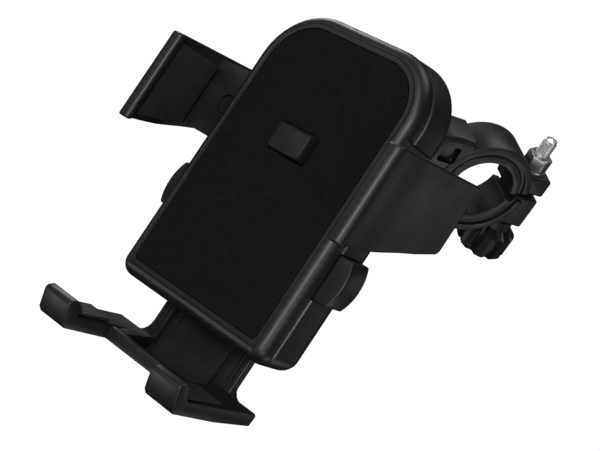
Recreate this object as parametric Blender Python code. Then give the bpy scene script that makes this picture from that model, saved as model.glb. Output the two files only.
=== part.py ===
"""Phone handlebar mount: a spring-arm phone cradle on a ball joint and a handlebar clamp.

Shapes are drawn in millimetres in one of two frames and scaled to metres when they are finished.
Head frame: +X right, +Y from the phone towards the handlebar, +Z up, origin on the pad's centre.
Clamp frame: x along the handlebar, y along the clamp screw towards its nut, z towards the ball.
World: axes of the head frame, origin at the centre of the handlebar bore.
"""
import math

import bmesh
import bpy
from mathutils import Matrix, Vector

MM = 0.001

# Handlebar clamp (clamp frame, origin at the bore centre)
BAR_AXIS = Vector((0.874, -0.151, -0.462)).normalized()
SCREW_HINT = Vector((0.363, -0.432, 0.826))
BALL_DISTANCE = 44.8
BAR_R = 11.1
LINER_R = 14.0
HOUSING_R = 14.3
RING_R = 17.8
RING_HALF = 7.2
SCREW_Z = -18.0
EAR_END_Z = -24.0
EAR_HALF = 6.2
UPPER_EAR = (2.6, 9.4)
LOWER_EAR = (-11.4, 0.6)
SCREW_R = 2.5
SCREW_TIP = 22.6
NUT_FLATS = 8.0
HINGE_YZ = (-8.5, 19.5)
KNUCKLE_R = 3.6
KNUCKLE_HALF = 3.0
KNOB_R = 9.2
NECK_ROWS = ((12.0, -5.0, 16.6, 7.0), (18.0, -7.0, 16.9, 6.9), (24.0, -9.6, 15.6, 6.6),
             (29.0, -8.0, 11.5, 5.8), (32.0, -5.4, 5.4, 4.7))
POCKET_X = 5.0

# Ball joint (head frame)
BALL_CENTRE = Vector((0.0, 27.2, 23.8))
BALL_R = 8.5
SHELL_IN = 8.85
SHELL_OUT = 9.8
SEAT_R = 10.15
STUB_R = 11.8
MOUTH_DEG = 58.0
STEM_R = 3.5

# Cradle head (head frame)
BODY_HALF = (36.3, 52.3)
BODY_CORNERS = (21.0, 4.8)
PAD_HALF = (30.7, 46.6)
PAD_CORNERS = (15.5, 1.8)
PAD_T = 1.2
FRAME_BACK_Y = 3.5
SEAM_Y = 5.4
BACK_Y = 17.0
SIDE_SWELL = 1.5
TOP_RISE = 1.2
FLOOR_RISE = 2.6
WALL = 2.2
REAR_WALL_Y = 14.2
EDGE_STEPS = 3
GAP = 0.3

# Gear train: two racks and a pinion
MECH_Z = 11.75
MODULE = 1.25
TEETH = 10
PRESSURE = math.radians(25.0)
PITCH_R = MODULE * TEETH / 2.0
ADDENDUM = 1.0
DEDENDUM = 1.35
BACKLASH = 0.3
GEAR_Y = (8.4, 11.3)

# Arms, trigger, release buttons and foot
ARM_INNER = 51.9
ARM_OUTER = 54.7
LIP_X = -48.9
LIP_Y = (-20.2, -16.9)
LIP_R = 1.5
HOLLOW_DEPTH = 1.0
HOLLOW_END_Y = -5.0
JAW_REAR_Y = 21.3
JAW_FOOT = ((-20.2, -11.4), (-12.0, -9.2), (-4.0, -6.6), (5.0, -2.6), (12.0, 0.2), (18.4, 2.6), (21.4, 5.0))
JAW_TOP = ((-20.2, 21.5), (21.4, 28.2))
JAW_EDGE = 0.8
CORNER_R = 2.8
REAR_R = 1.4
REAR_TAPER = 0.9
JAW_STEPS = 3
PLATE_Y = (3.95, 6.3)
PLATE_HALF_Z = 12.45
TRIGGER_Z = 10.0
TRIGGER_HALF = (7.5, 4.55)
BUTTON_Z = -19.4
BUTTON_Y = (5.8, 13.7)
BUTTON_RISE = 1.6
BUTTON_SPRING = ((9.4, BUTTON_Z), 2.0, 0.5, 26.0, 31.0, 4)
SLIDER_HALF = 22.0
SLIDER_Y = (14.35, 17.0)
CHANNEL_TOP_Z = -4.0
SHELF_SLOPE = 0.227
SHELF_REAR_Y = 14.7
SHELF_TOP_REAR_Z = -64.8
HOOK_X = (22.0, 35.6)
BOSS_XZ = (-39.0, 11.2)
RIB_COUNT = 31
RIB_PITCH = 1.4
CASE_SCREWS = ((-25.0, 39.0), (25.0, 39.0), (-29.0, -42.0), (29.0, -42.0))

for old in list(bpy.data.objects):
    bpy.data.objects.remove(old, do_unlink=True)


def clamp_axes():
    """The clamp frame's axes, as columns, in head-frame directions."""
    x_axis = BAR_AXIS
    z_axis = x_axis.cross(SCREW_HINT).normalized()
    y_axis = z_axis.cross(x_axis).normalized()
    return Matrix((x_axis, y_axis, z_axis)).transposed()


CLAMP_ROT = clamp_axes()
TO_HEAD = CLAMP_ROT.col[2]
BORE_CENTRE = BALL_CENTRE - BALL_DISTANCE * TO_HEAD
HEAD_FRAME = Matrix.Scale(MM, 4) @ Matrix.Translation(-BORE_CENTRE)
CLAMP_FRAME = Matrix.Scale(MM, 4) @ CLAMP_ROT.to_4x4()


# ---------------------------------------------------------------- tools

def make_object(name, bm):
    """Close a bmesh into an object whose faces point out."""
    bmesh.ops.recalc_face_normals(bm, faces=bm.faces)
    mesh = bpy.data.meshes.new(name)
    bm.to_mesh(mesh)
    bm.free()
    obj = bpy.data.objects.new(name, mesh)
    bpy.context.collection.objects.link(obj)
    return obj


def loft(sections, name="loft"):
    """Skin a list of equal-length point rings and cap both ends."""
    bm = bmesh.new()
    rings = [[bm.verts.new(point) for point in ring] for ring in sections]
    count = len(rings[0])
    for low, high in zip(rings, rings[1:]):
        for i in range(count):
            j = (i + 1) % count
            bm.faces.new((low[i], low[j], high[j], high[i]))
    bm.faces.new(list(reversed(rings[0])))
    bm.faces.new(rings[-1])
    return make_object(name, bm)


def at(axis, depth, point):
    """A 2-D point placed at a depth along axis X, Y or Z."""
    first, second = point
    if axis == "X":
        return Vector((depth, first, second))
    if axis == "Y":
        return Vector((first, depth, second))
    return Vector((first, second, depth))


def prism(outline, axis, low, high, soft=0.0, steps=1):
    """A straight extrusion of an outline, with its edges softened."""
    obj = loft([[at(axis, depth, point) for point in outline] for depth in (low, high)], "prism")
    if soft > 0.0:
        soften(obj, soft, steps)
    return obj


def soften(obj, width, steps=1, limit=35.0):
    """Bevel every edge sharper than the limit."""
    bm = bmesh.new()
    bm.from_mesh(obj.data)
    sharp = [edge for edge in bm.edges if edge.calc_face_angle(0.0) > math.radians(limit)]
    bmesh.ops.bevel(bm, geom=sharp, offset=width, segments=steps, profile=0.5, affect="EDGES",
                    clamp_overlap=True)
    bm.to_mesh(obj.data)
    bm.free()


def box(x_range, y_range, z_range, soft=0.0, steps=1):
    """A block between three ranges."""
    outline = [(x_range[0], y_range[0]), (x_range[1], y_range[0]),
               (x_range[1], y_range[1]), (x_range[0], y_range[1])]
    return prism(outline, "Z", z_range[0], z_range[1], soft, steps)


def arc(centre, radius, start, end, steps):
    """Points on an arc, in degrees, both ends included."""
    points = []
    for i in range(steps + 1):
        angle = math.radians(start + (end - start) * i / steps)
        points.append((centre[0] + radius * math.cos(angle), centre[1] + radius * math.sin(angle)))
    return points


def rounded_rect(half, corners, steps, centre=(0.0, 0.0)):
    """A rectangle with one radius at its top corners and one at its bottom corners."""
    top, bottom = corners
    wide, tall = half
    points = []
    for sx, sz, radius, start in ((1, 1, top, 0), (-1, 1, top, 90),
                                  (-1, -1, bottom, 180), (1, -1, bottom, 270)):
        middle = (centre[0] + sx * (wide - radius), centre[1] + sz * (tall - radius))
        points += arc(middle, radius, start, start + 90, steps)
    return points


def inset_rect(half, corners, steps, inset, centre=(0.0, 0.0)):
    """The same rounded rectangle, drawn inset."""
    smaller = (half[0] - inset, half[1] - inset)
    radii = tuple(max(radius - inset, 0.3) for radius in corners)
    return rounded_rect(smaller, radii, steps, centre)


def turned(profile, axis, centre=(0.0, 0.0, 0.0), steps=32):
    """Turn (radius, height) points, an outline that touches or surrounds the axis, into a solid."""
    bm = bmesh.new()
    centre = Vector(centre)
    rings = []
    for radius, height in profile:
        if radius < 1e-6:
            rings.append([bm.verts.new(centre + at(axis, height, (0.0, 0.0)))])
            continue
        rings.append([bm.verts.new(centre + at(axis, height, point))
                      for point in arc((0.0, 0.0), radius, 0.0, 360.0, steps)[:-1]])
    pairs = list(zip(rings, rings[1:]))
    if len(rings[0]) > 1 and len(rings[-1]) > 1:
        pairs.append((rings[-1], rings[0]))
    for low, high in pairs:
        for i in range(steps):
            j = (i + 1) % steps
            if len(low) == 1 and len(high) == 1:
                continue
            if len(low) == 1:
                bm.faces.new((low[0], high[j], high[i]))
            elif len(high) == 1:
                bm.faces.new((low[i], low[j], high[0]))
            else:
                bm.faces.new((low[i], low[j], high[j], high[i]))
    return make_object("turned", bm)


def rod(axis, centre, radius, low, high, steps=20):
    """A cylinder along X, Y or Z through a 2-D centre."""
    return prism(arc(centre, radius, 0.0, 360.0, steps)[:-1], axis, low, high)


def combine(target, tools, operation):
    """Apply one exact Boolean for each tool and delete the tools."""
    for tool in tools:
        modifier = target.modifiers.new("combine", "BOOLEAN")
        modifier.operation = operation
        modifier.object = tool
        graph = bpy.context.evaluated_depsgraph_get()
        mesh = bpy.data.meshes.new_from_object(target.evaluated_get(graph))
        target.modifiers.clear()
        target.data = mesh
        bpy.data.objects.remove(tool, do_unlink=True)
    return target


def join(target, *tools):
    return combine(target, tools, "UNION")


def cut(target, *tools):
    return combine(target, tools, "DIFFERENCE")


def mirrored(obj):
    """A copy of an object reflected left to right."""
    copy = obj.copy()
    copy.data = obj.data.copy()
    bpy.context.collection.objects.link(copy)
    copy.data.transform(Matrix.Scale(-1.0, 4, (1.0, 0.0, 0.0)))
    copy.data.flip_normals()
    return copy


def coil(axis, centre, radius, wire, low, high, turns, steps=7):
    """A round-wire helix with closed ends."""
    curve = bpy.data.curves.new("coil", "CURVE")
    curve.dimensions = "3D"
    curve.bevel_depth = wire / 2.0
    curve.bevel_resolution = 0
    curve.use_fill_caps = True
    count = int(turns * steps) + 1
    spline = curve.splines.new("POLY")
    spline.points.add(count - 1)
    for i in range(count):
        angle = 2.0 * math.pi * i / steps
        depth = low + (high - low) * i / (count - 1)
        point = at(axis, depth, (centre[0] + radius * math.cos(angle),
                                 centre[1] + radius * math.sin(angle)))
        spline.points[i].co = (*point, 1.0)
    holder = bpy.data.objects.new("coil", curve)
    bpy.context.collection.objects.link(holder)
    graph = bpy.context.evaluated_depsgraph_get()
    mesh = bpy.data.meshes.new_from_object(holder.evaluated_get(graph))
    bpy.data.objects.remove(holder, do_unlink=True)
    bm = bmesh.new()
    bm.from_mesh(mesh)
    bmesh.ops.remove_doubles(bm, verts=bm.verts, dist=1e-5)
    return make_object("coil", bm)


# ---------------------------------------------------------------- materials and bodies

FINISHES = {
    "black_plastic": ((0.018, 0.018, 0.019), 0.45, 0.0),
    "pad_foam": ((0.008, 0.008, 0.008), 0.95, 0.0),
    "black_rubber": ((0.012, 0.012, 0.012), 0.8, 0.0),
    "trigger_plastic": ((0.024, 0.024, 0.025), 0.5, 0.0),
    "zinc_steel": ((0.62, 0.62, 0.60), 0.3, 1.0),
    "spring_steel": ((0.45, 0.45, 0.46), 0.35, 1.0),
    "white_nylon": ((0.75, 0.74, 0.70), 0.5, 0.0),
}


def finish_material(name):
    """The named finish, made once."""
    material = bpy.data.materials.get(name)
    if material:
        return material
    colour, roughness, metallic = FINISHES[name]
    material = bpy.data.materials.new(name)
    material.use_nodes = True
    shader = material.node_tree.nodes["Principled BSDF"]
    shader.inputs["Base Color"].default_value = (*colour, 1.0)
    shader.inputs["Roughness"].default_value = roughness
    shader.inputs["Metallic"].default_value = metallic
    return material


def pivot(name, frame, point):
    """An empty on a body's joint axis."""
    empty = bpy.data.objects.new(name + "_pivot", None)
    empty.empty_display_size = 5 * MM
    empty.location = frame @ Vector(point)
    bpy.context.collection.objects.link(empty)
    return empty


def finish(obj, name, frame, body, finish_name):
    """Scale a solid to metres, hang it on its body's empty and give it its material."""
    obj.data.transform(Matrix.Translation(-body.location) @ frame)
    obj.name = name
    obj.data.name = name
    obj.parent = body
    obj.data.materials.clear()
    obj.data.materials.append(finish_material(finish_name))
    obj.data.shade_smooth()
    obj.data.set_sharp_from_angle(angle=math.radians(35.0))
    return obj


# ---------------------------------------------------------------- handlebar clamp

def ring_sector(inner, outer, start, end, half, steps):
    """Part of a ring about the bar, angles measured from the clamp frame's z towards y."""
    outline = []
    for z, y in arc((0.0, 0.0), outer, start, end, steps):
        outline.append((y, z))
    for z, y in arc((0.0, 0.0), inner, end, start, steps):
        outline.append((y, z))
    return prism(outline, "X", -half, half)


def screw_hole(radius, low, high):
    """A cutter along the clamp screw."""
    return rod("Y", (0.0, SCREW_Z), radius, low, high)


def neck():
    """The tapering arm from the ring to the ball stem."""
    sections = []
    for z, low, high, half in NECK_ROWS:
        centre = (0.0, (low + high) / 2.0)
        outline = rounded_rect((half, (high - low) / 2.0), (1.8, 1.8), 2, centre)
        sections.append([Vector((x, y, z)) for x, y in outline])
    return loft(sections)


def ball_and_stem():
    """The stem and the ball it carries, turned about the clamp frame's z."""
    start = math.degrees(math.asin(STEM_R / BALL_R))
    profile = [(0.0, 30.0), (STEM_R, 30.0)]
    for i in range(9):
        angle = math.radians(start + (180.0 - start) * i / 8)
        profile.append((BALL_R * math.sin(angle), BALL_DISTANCE - BALL_R * math.cos(angle)))
    profile[-1] = (0.0, BALL_DISTANCE + BALL_R)
    return turned(profile, "Z", steps=24)


def clamp_body():
    """Upper half of the handlebar clamp with its ear, neck, stem and ball."""
    obj = ring_sector(HOUSING_R, RING_R, -20.0, 171.0, RING_HALF, 24)
    ear = box((-EAR_HALF, EAR_HALF), UPPER_EAR, (EAR_END_Z, -12.0), soft=0.8)
    knuckle = rod("X", HINGE_YZ, KNUCKLE_R, -RING_HALF, RING_HALF)
    join(obj, ear, neck(), knuckle, ball_and_stem())
    cutters = [rod("X", (0.0, 0.0), HOUSING_R, -20.0, 20.0, 40)]
    cutters.append(rod("X", HINGE_YZ, KNUCKLE_R + 0.5, -KNUCKLE_HALF - 0.35, KNUCKLE_HALF + 0.35))
    cutters.append(rod("X", HINGE_YZ, 1.6, -20.0, 20.0, 16))
    cutters.append(screw_hole(SCREW_R + 0.3, -20.0, 12.0))
    cutters.append(screw_hole(5.5, UPPER_EAR[1], 22.0))
    for side in (-1.0, 1.0):
        span = sorted((side * POCKET_X, side * 12.0))
        cutters.append(box(span, (6.3, 13.0), (15.6, 22.2), soft=1.2, steps=2))
        groove = sorted((side * (RING_HALF - 0.9), side * 12.0))
        cutters.append(rod("X", (0.0, 0.0), HOUSING_R + 1.1, groove[0], groove[1], 40))
    return cut(obj, *cutters)


def clamp_lower_jaw():
    """Lower half of the handlebar clamp with its ear and hinge knuckle."""
    obj = ring_sector(HOUSING_R, RING_R, -178.0, -34.0, RING_HALF, 18)
    ear = box((-EAR_HALF, EAR_HALF), LOWER_EAR, (EAR_END_Z, -12.0), soft=0.8)
    web = prism([(-10.0, 23.0), (-12.1, 19.6), (-15.6, 11.5), (-14.6, 9.6), (-9.4, 14.0), (-5.6, 17.4)],
                "X", -KNUCKLE_HALF, KNUCKLE_HALF)
    knuckle = rod("X", HINGE_YZ, KNUCKLE_R, -KNUCKLE_HALF, KNUCKLE_HALF)
    join(obj, ear, web, knuckle)
    cutters = [rod("X", (0.0, 0.0), HOUSING_R, -20.0, 20.0, 40)]
    cutters.append(rod("X", HINGE_YZ, 1.6, -20.0, 20.0, 16))
    cutters.append(screw_hole(SCREW_R + 0.8, -20.0, 6.0))
    cutters.append(screw_hole(7.2, -20.0, LOWER_EAR[0]))
    cutters.append(box((-20.0, 20.0), (LOWER_EAR[1], 12.0), (-30.0, -8.0)))
    for side in (-1.0, 1.0):
        span = sorted((side * (KNUCKLE_HALF + 0.1), side * 12.0))
        cutters.append(rod("X", HINGE_YZ, KNUCKLE_R + 0.5, span[0], span[1]))
        groove = sorted((side * (RING_HALF - 0.9), side * 12.0))
        cutters.append(rod("X", (0.0, 0.0), HOUSING_R + 1.1, groove[0], groove[1], 40))
    return cut(obj, *cutters)


def liner(start, end):
    """Half of the ribbed rubber sleeve between clamp and bar."""
    return ring_sector(BAR_R, LINER_R, start, end, RING_HALF - 0.4, 18)


def thumb_knob():
    """The fluted knob, moulded round the screw's lower end."""
    sections = []
    for y, radius, depth in ((-11.9, 5.6, 0.0), (-15.0, 6.2, 0.0), (-17.2, KNOB_R, 1.7),
                             (-25.0, KNOB_R, 1.7), (-26.4, KNOB_R - 1.3, 1.2)):
        ring = []
        for i in range(32):
            angle = 2.0 * math.pi * i / 32
            lobe = max(0.0, math.cos(8.0 * angle)) ** 0.7
            reach = radius - depth * lobe
            ring.append(Vector((reach * math.cos(angle), y, SCREW_Z + reach * math.sin(angle))))
        sections.append(ring)
    return cut(loft(sections), screw_hole(SCREW_R + 0.3, -23.6, -5.0))


def clamp_screw():
    """The M5 screw, plain where the thread is cut."""
    profile = [(0.0, -23.2), (SCREW_R, -23.2), (SCREW_R, SCREW_TIP - 0.6), (SCREW_R - 0.6, SCREW_TIP),
               (0.0, SCREW_TIP)]
    return turned(profile, "Y", (0.0, 0.0, SCREW_Z), 20)


def hex_nut():
    """An M5 nut with chamfered corners."""
    corner = NUT_FLATS / math.sqrt(3.0)
    low = UPPER_EAR[1] + 1.2
    hexagon = arc((0.0, SCREW_Z), corner, 0.0, 360.0, 6)[:-1]
    obj = prism(hexagon, "Y", low, low + 4.7, soft=0.35)
    return cut(obj, screw_hole(SCREW_R + 0.12, 0.0, 30.0))


def lock_washer():
    """The washer under the nut."""
    low = UPPER_EAR[1] + 0.1
    profile = [(SCREW_R + 0.2, low), (4.7, low), (4.7, low + 1.0), (SCREW_R + 0.2, low + 1.0)]
    return turned(profile, "Y", (0.0, 0.0, SCREW_Z), 28)


# ---------------------------------------------------------------- ball joint

def shell_zone(start, end):
    """Part of a spherical shell about the ball; angles from the head frame's +Y."""
    steps = math.ceil((end - start) / 15.0)
    profile = []
    for i in range(steps + 1):
        angle = math.radians(start + (end - start) * i / steps)
        profile.append((SHELL_OUT * math.sin(angle), SHELL_OUT * math.cos(angle)))
    for i in range(steps + 1):
        angle = math.radians(end + (start - end) * i / steps)
        profile.append((SHELL_IN * math.sin(angle), SHELL_IN * math.cos(angle)))
    if end > 179.0:
        profile[steps] = (0.0, -SHELL_OUT)
        profile[steps + 1] = (0.0, -SHELL_IN)
    return turned(profile, "Y", BALL_CENTRE, 32)


def socket_ring_nut():
    """The ribbed ring nut that closes the socket over the ball."""
    mouth = math.radians(MOUTH_DEG)
    rim = (SEAT_R * math.sin(mouth), SEAT_R * math.cos(mouth))
    profile = [(STUB_R + 0.3, -7.2), (14.0, -7.2), (14.6, -6.4), (14.6, 3.0), (13.4, 4.6),
               (10.4, rim[1] + 0.7), rim]
    for i in range(1, 4):
        angle = mouth + (math.radians(88.0) - mouth) * i / 3
        profile.append((SEAT_R * math.sin(angle), SEAT_R * math.cos(angle)))
    profile.append((STUB_R + 0.3, -0.2))
    obj = turned(profile, "Y", BALL_CENTRE, 36)
    ribs = []
    for i in range(12):
        angle = 2.0 * math.pi * i / 12
        centre = (BALL_CENTRE.x + 14.9 * math.cos(angle), BALL_CENTRE.z + 14.9 * math.sin(angle))
        ribs.append(rod("Y", centre, 0.9, BALL_CENTRE.y - 9.0, BALL_CENTRE.y + 9.0, 6))
    return cut(obj, *ribs)


def socket_stub():
    """The threaded cup on the back of the cradle."""
    profile = [(0.0, 16.0), (13.0, 16.0), (13.0, 19.2), (STUB_R, 19.5), (STUB_R, 26.3)]
    start = math.acos((26.3 - BALL_CENTRE.y) / SEAT_R)
    for i in range(7):
        angle = start + (math.pi - start) * i / 6
        profile.append((SEAT_R * math.sin(angle), BALL_CENTRE.y + SEAT_R * math.cos(angle)))
    profile[-1] = (0.0, BALL_CENTRE.y - SEAT_R)
    return turned(profile, "Y", (BALL_CENTRE.x, 0.0, BALL_CENTRE.z), 32)


# ---------------------------------------------------------------- cradle head

def body_ring(depth, inset, steps=6):
    """The casing's outline at one depth."""
    return [at("Y", depth, point) for point in inset_rect(BODY_HALF, BODY_CORNERS, steps, inset)]


def cover_ring(depth, inset, steps=6):
    """The back cover's outline at one depth: its sides swell and its floor rises towards the back."""
    share = (depth - SEAM_Y) / (BACK_Y - SEAM_Y)
    swell = SIDE_SWELL * math.sin(min(1.0, 1.5 * share) * math.pi / 2.0)
    top, floor = TOP_RISE * share, FLOOR_RISE * share
    half = (BODY_HALF[0] + swell, BODY_HALF[1] + (top - floor) / 2.0)
    ring = inset_rect(half, BODY_CORNERS, steps, inset, (0.0, (top + floor) / 2.0))
    return [at("Y", depth, point) for point in ring]


def arm_slots(y_range):
    """Cutters for the openings in both side walls that the arms' plates slide through."""
    height = (MECH_Z - PLATE_HALF_Z - GAP, MECH_Z + PLATE_HALF_Z + GAP)
    return [box(sorted((side * 30.0, side * 40.0)), y_range, height) for side in (-1.0, 1.0)]


def rounded_edge(face, side, inset):
    """(depth, inset) pairs of a quarter-round edge, from the flat face to the upright side."""
    pairs = []
    for i in range(EDGE_STEPS + 1):
        angle = math.pi / 2.0 * i / EDGE_STEPS
        pairs.append((face + (side - face) * (1.0 - math.cos(angle)), inset * (1.0 - math.sin(angle))))
    return pairs


def face_pad():
    """The soft pad that the phone lies on."""
    obj = prism(rounded_rect(PAD_HALF, PAD_CORNERS, 6), "Y", 0.0, PAD_T)
    hole = prism(rounded_rect((8.6, 5.35), (1.2, 1.2), 2, (0.0, TRIGGER_Z)), "Y", -1.0, 3.0)
    return cut(obj, hole)


def arm_recesses(y_range):
    """Cutters for the shallow side recesses that the jaws close into."""
    return [box(sorted((side * (BODY_HALF[0] - 1.0), side * 45.0)), y_range, (-5.0, 28.0))
            for side in (-1.0, 1.0)]


def front_shell():
    """The front frame: a raised rim round the pad's recess, and four screw posts behind."""
    rings = [(0.0, 3.9), (0.35, 3.75)] + rounded_edge(0.15, 4.4, 3.55)
    rings += [(SEAM_Y - 0.4, 0.0), (SEAM_Y - 0.1, 0.3)]
    obj = loft([body_ring(depth, inset) for depth, inset in rings])
    skirt_bore = prism(inset_rect(BODY_HALF, BODY_CORNERS, 5, WALL), "Y", FRAME_BACK_Y, 8.0)
    cut(obj, skirt_bore, *arm_slots((FRAME_BACK_Y, 8.0)))
    posts = [rod("Y", place, 3.0, 3.0, REAR_WALL_Y - GAP, 16) for place in CASE_SCREWS]
    join(obj, *posts)
    cutters = [prism(rounded_rect((PAD_HALF[0] + GAP, PAD_HALF[1] + GAP), PAD_CORNERS, 6),
                     "Y", -2.0, PAD_T + GAP)]
    opening = rounded_rect((TRIGGER_HALF[0] + GAP, TRIGGER_HALF[1] + GAP), (1.0, 1.0), 2, (0.0, TRIGGER_Z))
    cutters.append(prism(opening, "Y", -2.0, 6.0))
    cutters += [rod("Y", place, 1.2, 5.0, 20.0, 12) for place in CASE_SCREWS]
    cutters += arm_recesses((-2.0, 6.0))
    return cut(obj, *cutters)


def rear_shell():
    """The back cover: side walls, slots, foot channel, gear posts and the ball socket."""
    rings = [(SEAM_Y + 0.2, 0.4), (SEAM_Y + 0.6, 0.0)] + rounded_edge(BACK_Y, 12.6, 3.6)[::-1]
    obj = loft([cover_ring(depth, inset) for depth, inset in rings])
    room = (BODY_HALF[0], BODY_HALF[1] - FLOOR_RISE / 2.0)
    inner = inset_rect(room, BODY_CORNERS, 5, WALL, (0.0, FLOOR_RISE / 2.0))
    cut(obj, prism(inner, "Y", 0.0, REAR_WALL_Y))
    parts = [box((-24.4, 24.4), (12.3, 15.0), (-49.2, CHANNEL_TOP_Z + 2.0))]
    parts += [box(sorted((side * 24.0, side * 25.4)), (4.4, 15.0), (-25.0, -14.0)) for side in (-1.0, 1.0)]
    parts += [rod("Y", (side * 11.5, MECH_Z), 1.6, GEAR_Y[0] + 0.2, 15.0, 12) for side in (-1.0, 1.0)]
    parts.append(rod("Y", (0.0, MECH_Z), 3.2, GEAR_Y[1] + 0.3, 15.0, 16))
    parts.append(socket_stub())
    join(obj, *parts)
    channel = (-SLIDER_HALF - GAP, SLIDER_HALF + GAP)
    cutters = [box(channel, (SLIDER_Y[0] - GAP, 20.0), (-60.0, CHANNEL_TOP_Z))]
    cutters.append(box((-4.4, 4.4), (13.1, 15.0), (-34.4, -19.6)))
    cutters.append(rod("Y", (0.0, MECH_Z), 1.6, 8.0, 14.6, 16))
    cutters += arm_slots((0.0, PLATE_Y[1] + GAP))
    for side in (-1.0, 1.0):
        outline = [(side * 30.0, -8.2), (side * 40.0, -8.2), (side * 40.0, 8.2), (side * 30.0, 8.2)]
        cutters.append(rising_prism(outline, -GAP, GAP))
    for place in CASE_SCREWS:
        cutters.append(rod("Y", place, 1.5, 10.0, 20.0, 12))
        cutters.append(rod("Y", place, 2.9, 15.3, 20.0, 16))
    cutters += arm_recesses((0.0, 30.0))
    return cut(obj, *cutters)


def case_screw(place):
    """A pan-head screw with a cross-slot, seen from the back."""
    profile = [(0.0, 6.2), (1.1, 6.2), (1.1, 15.4), (2.6, 15.4), (2.6, 16.2), (1.9, 16.8), (0.0, 16.8)]
    obj = turned(profile, "Y", (place[0], 0.0, place[1]), 16)
    slot = [box((place[0] - 1.5, place[0] + 1.5), (16.2, 18.0), (place[1] - 0.3, place[1] + 0.3)),
            box((place[0] - 0.3, place[0] + 0.3), (16.2, 18.0), (place[1] - 1.5, place[1] + 1.5))]
    return cut(obj, *slot)


def channel_cover():
    """The plate that closes the foot's channel at the back."""
    sections = []
    for depth, inset in ((BACK_Y + 0.15, 0.0), (BACK_Y + 1.0, 0.0), (BACK_Y + 1.6, 0.8)):
        ring = inset_rect((27.0, 21.0), (3.0, 3.0), 3, inset, (0.0, -25.0))
        sections.append([at("Y", depth, point) for point in ring])
    return loft(sections)


def trigger_button():
    """The raised key in the middle of the pad, with its stop flange."""
    rings = []
    for depth, inset in ((-2.8, 0.9), (-2.5, 0.3), (-1.9, 0.0), (4.2, 0.0)):
        outline = inset_rect(TRIGGER_HALF, (1.6, 1.6), 3, inset, (0.0, TRIGGER_Z))
        rings.append([at("Y", depth, point) for point in outline])
    flange = box((-8.7, 8.7), (FRAME_BACK_Y + 0.4, 5.0), (TRIGGER_Z - 5.2, TRIGGER_Z + 5.2))
    return join(loft(rings), flange)


def latch_plate():
    """The thin steel plate between trigger and pinion."""
    outline = rounded_rect((13.6, 3.4), (2.0, 2.0), 3, (0.0, MECH_Z))
    return prism(outline, "Y", GEAR_Y[0] - 0.9, GEAR_Y[0] - 0.3)


def gear_outline():
    """The pinion's outline: involute flanks, a tooth pointing up."""
    base = PITCH_R * math.cos(PRESSURE)
    root = PITCH_R - DEDENDUM
    tip = PITCH_R + ADDENDUM
    pitch_half = (math.pi * MODULE / 2.0 - BACKLASH / 2.0) / (2.0 * PITCH_R)
    lead = math.tan(PRESSURE) - PRESSURE
    flank = []
    for i in range(5):
        radius = base + (tip - base) * i / 4
        roll = math.acos(base / radius)
        flank.append((radius, pitch_half + lead - (math.tan(roll) - roll)))
    points = []
    for tooth in range(TEETH):
        middle = math.pi / 2.0 + 2.0 * math.pi * tooth / TEETH
        side = [(root, flank[0][1])] + flank
        spans = [(radius, middle - half) for radius, half in side]
        spans += [(radius, middle + half) for radius, half in reversed(side)]
        points += [(radius * math.cos(angle), MECH_Z + radius * math.sin(angle)) for radius, angle in spans]
    return points


def pinion_gear():
    """The gear that makes both arms move together."""
    obj = prism(gear_outline(), "Y", GEAR_Y[0], GEAR_Y[1])
    return cut(obj, rod("Y", (0.0, MECH_Z), 1.6, 5.0, 15.0, 16))


def rack_outline(start, end):
    """Rack teeth along X facing down, a tooth space at X = 0, in (x, z)."""
    pitch = math.pi * MODULE
    half = pitch / 4.0 - BACKLASH / 4.0
    tip_half = half - ADDENDUM * math.tan(PRESSURE)
    root_half = half + DEDENDUM * math.tan(PRESSURE)
    line = MECH_Z + PITCH_R
    back = line + DEDENDUM
    points = [(end, back + 0.4), (start, back + 0.4)]
    first = math.ceil((start + root_half) / pitch - 0.5)
    last = math.floor((end - root_half) / pitch - 0.5)
    for tooth in range(first, last + 1):
        middle = (tooth + 0.5) * pitch
        points += [(middle - root_half, back), (middle - tip_half, line - ADDENDUM),
                   (middle + tip_half, line - ADDENDUM), (middle + root_half, back)]
    return points


def between(points, y):
    """A value read from a line through (y, value) points."""
    for (y_low, low), (y_high, high) in zip(points, points[1:]):
        if y <= y_high:
            return low + (high - low) * (y - y_low) / (y_high - y_low)
    return points[-1][1]


def jaw_section(y, x_inner, x_outer, trim):
    """The jaw's cross-section at one depth, its top and foot trimmed by the end's roundness."""
    low = between(JAW_FOOT, y) + trim
    high = between(JAW_TOP, y) - trim
    half = ((x_inner - x_outer) / 2.0, (high - low) / 2.0)
    radius = min(JAW_EDGE, half[0] * 0.9)
    centre = ((x_inner + x_outer) / 2.0, (high + low) / 2.0)
    return [at("Y", y, point) for point in rounded_rect(half, (radius, radius), 2, centre)]


def corner_round(y):
    """How far the jaw's outside is rounded in near its front end."""
    reach = CORNER_R - min(y - LIP_Y[0], CORNER_R)
    return CORNER_R - math.sqrt(CORNER_R ** 2 - reach ** 2)


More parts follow.
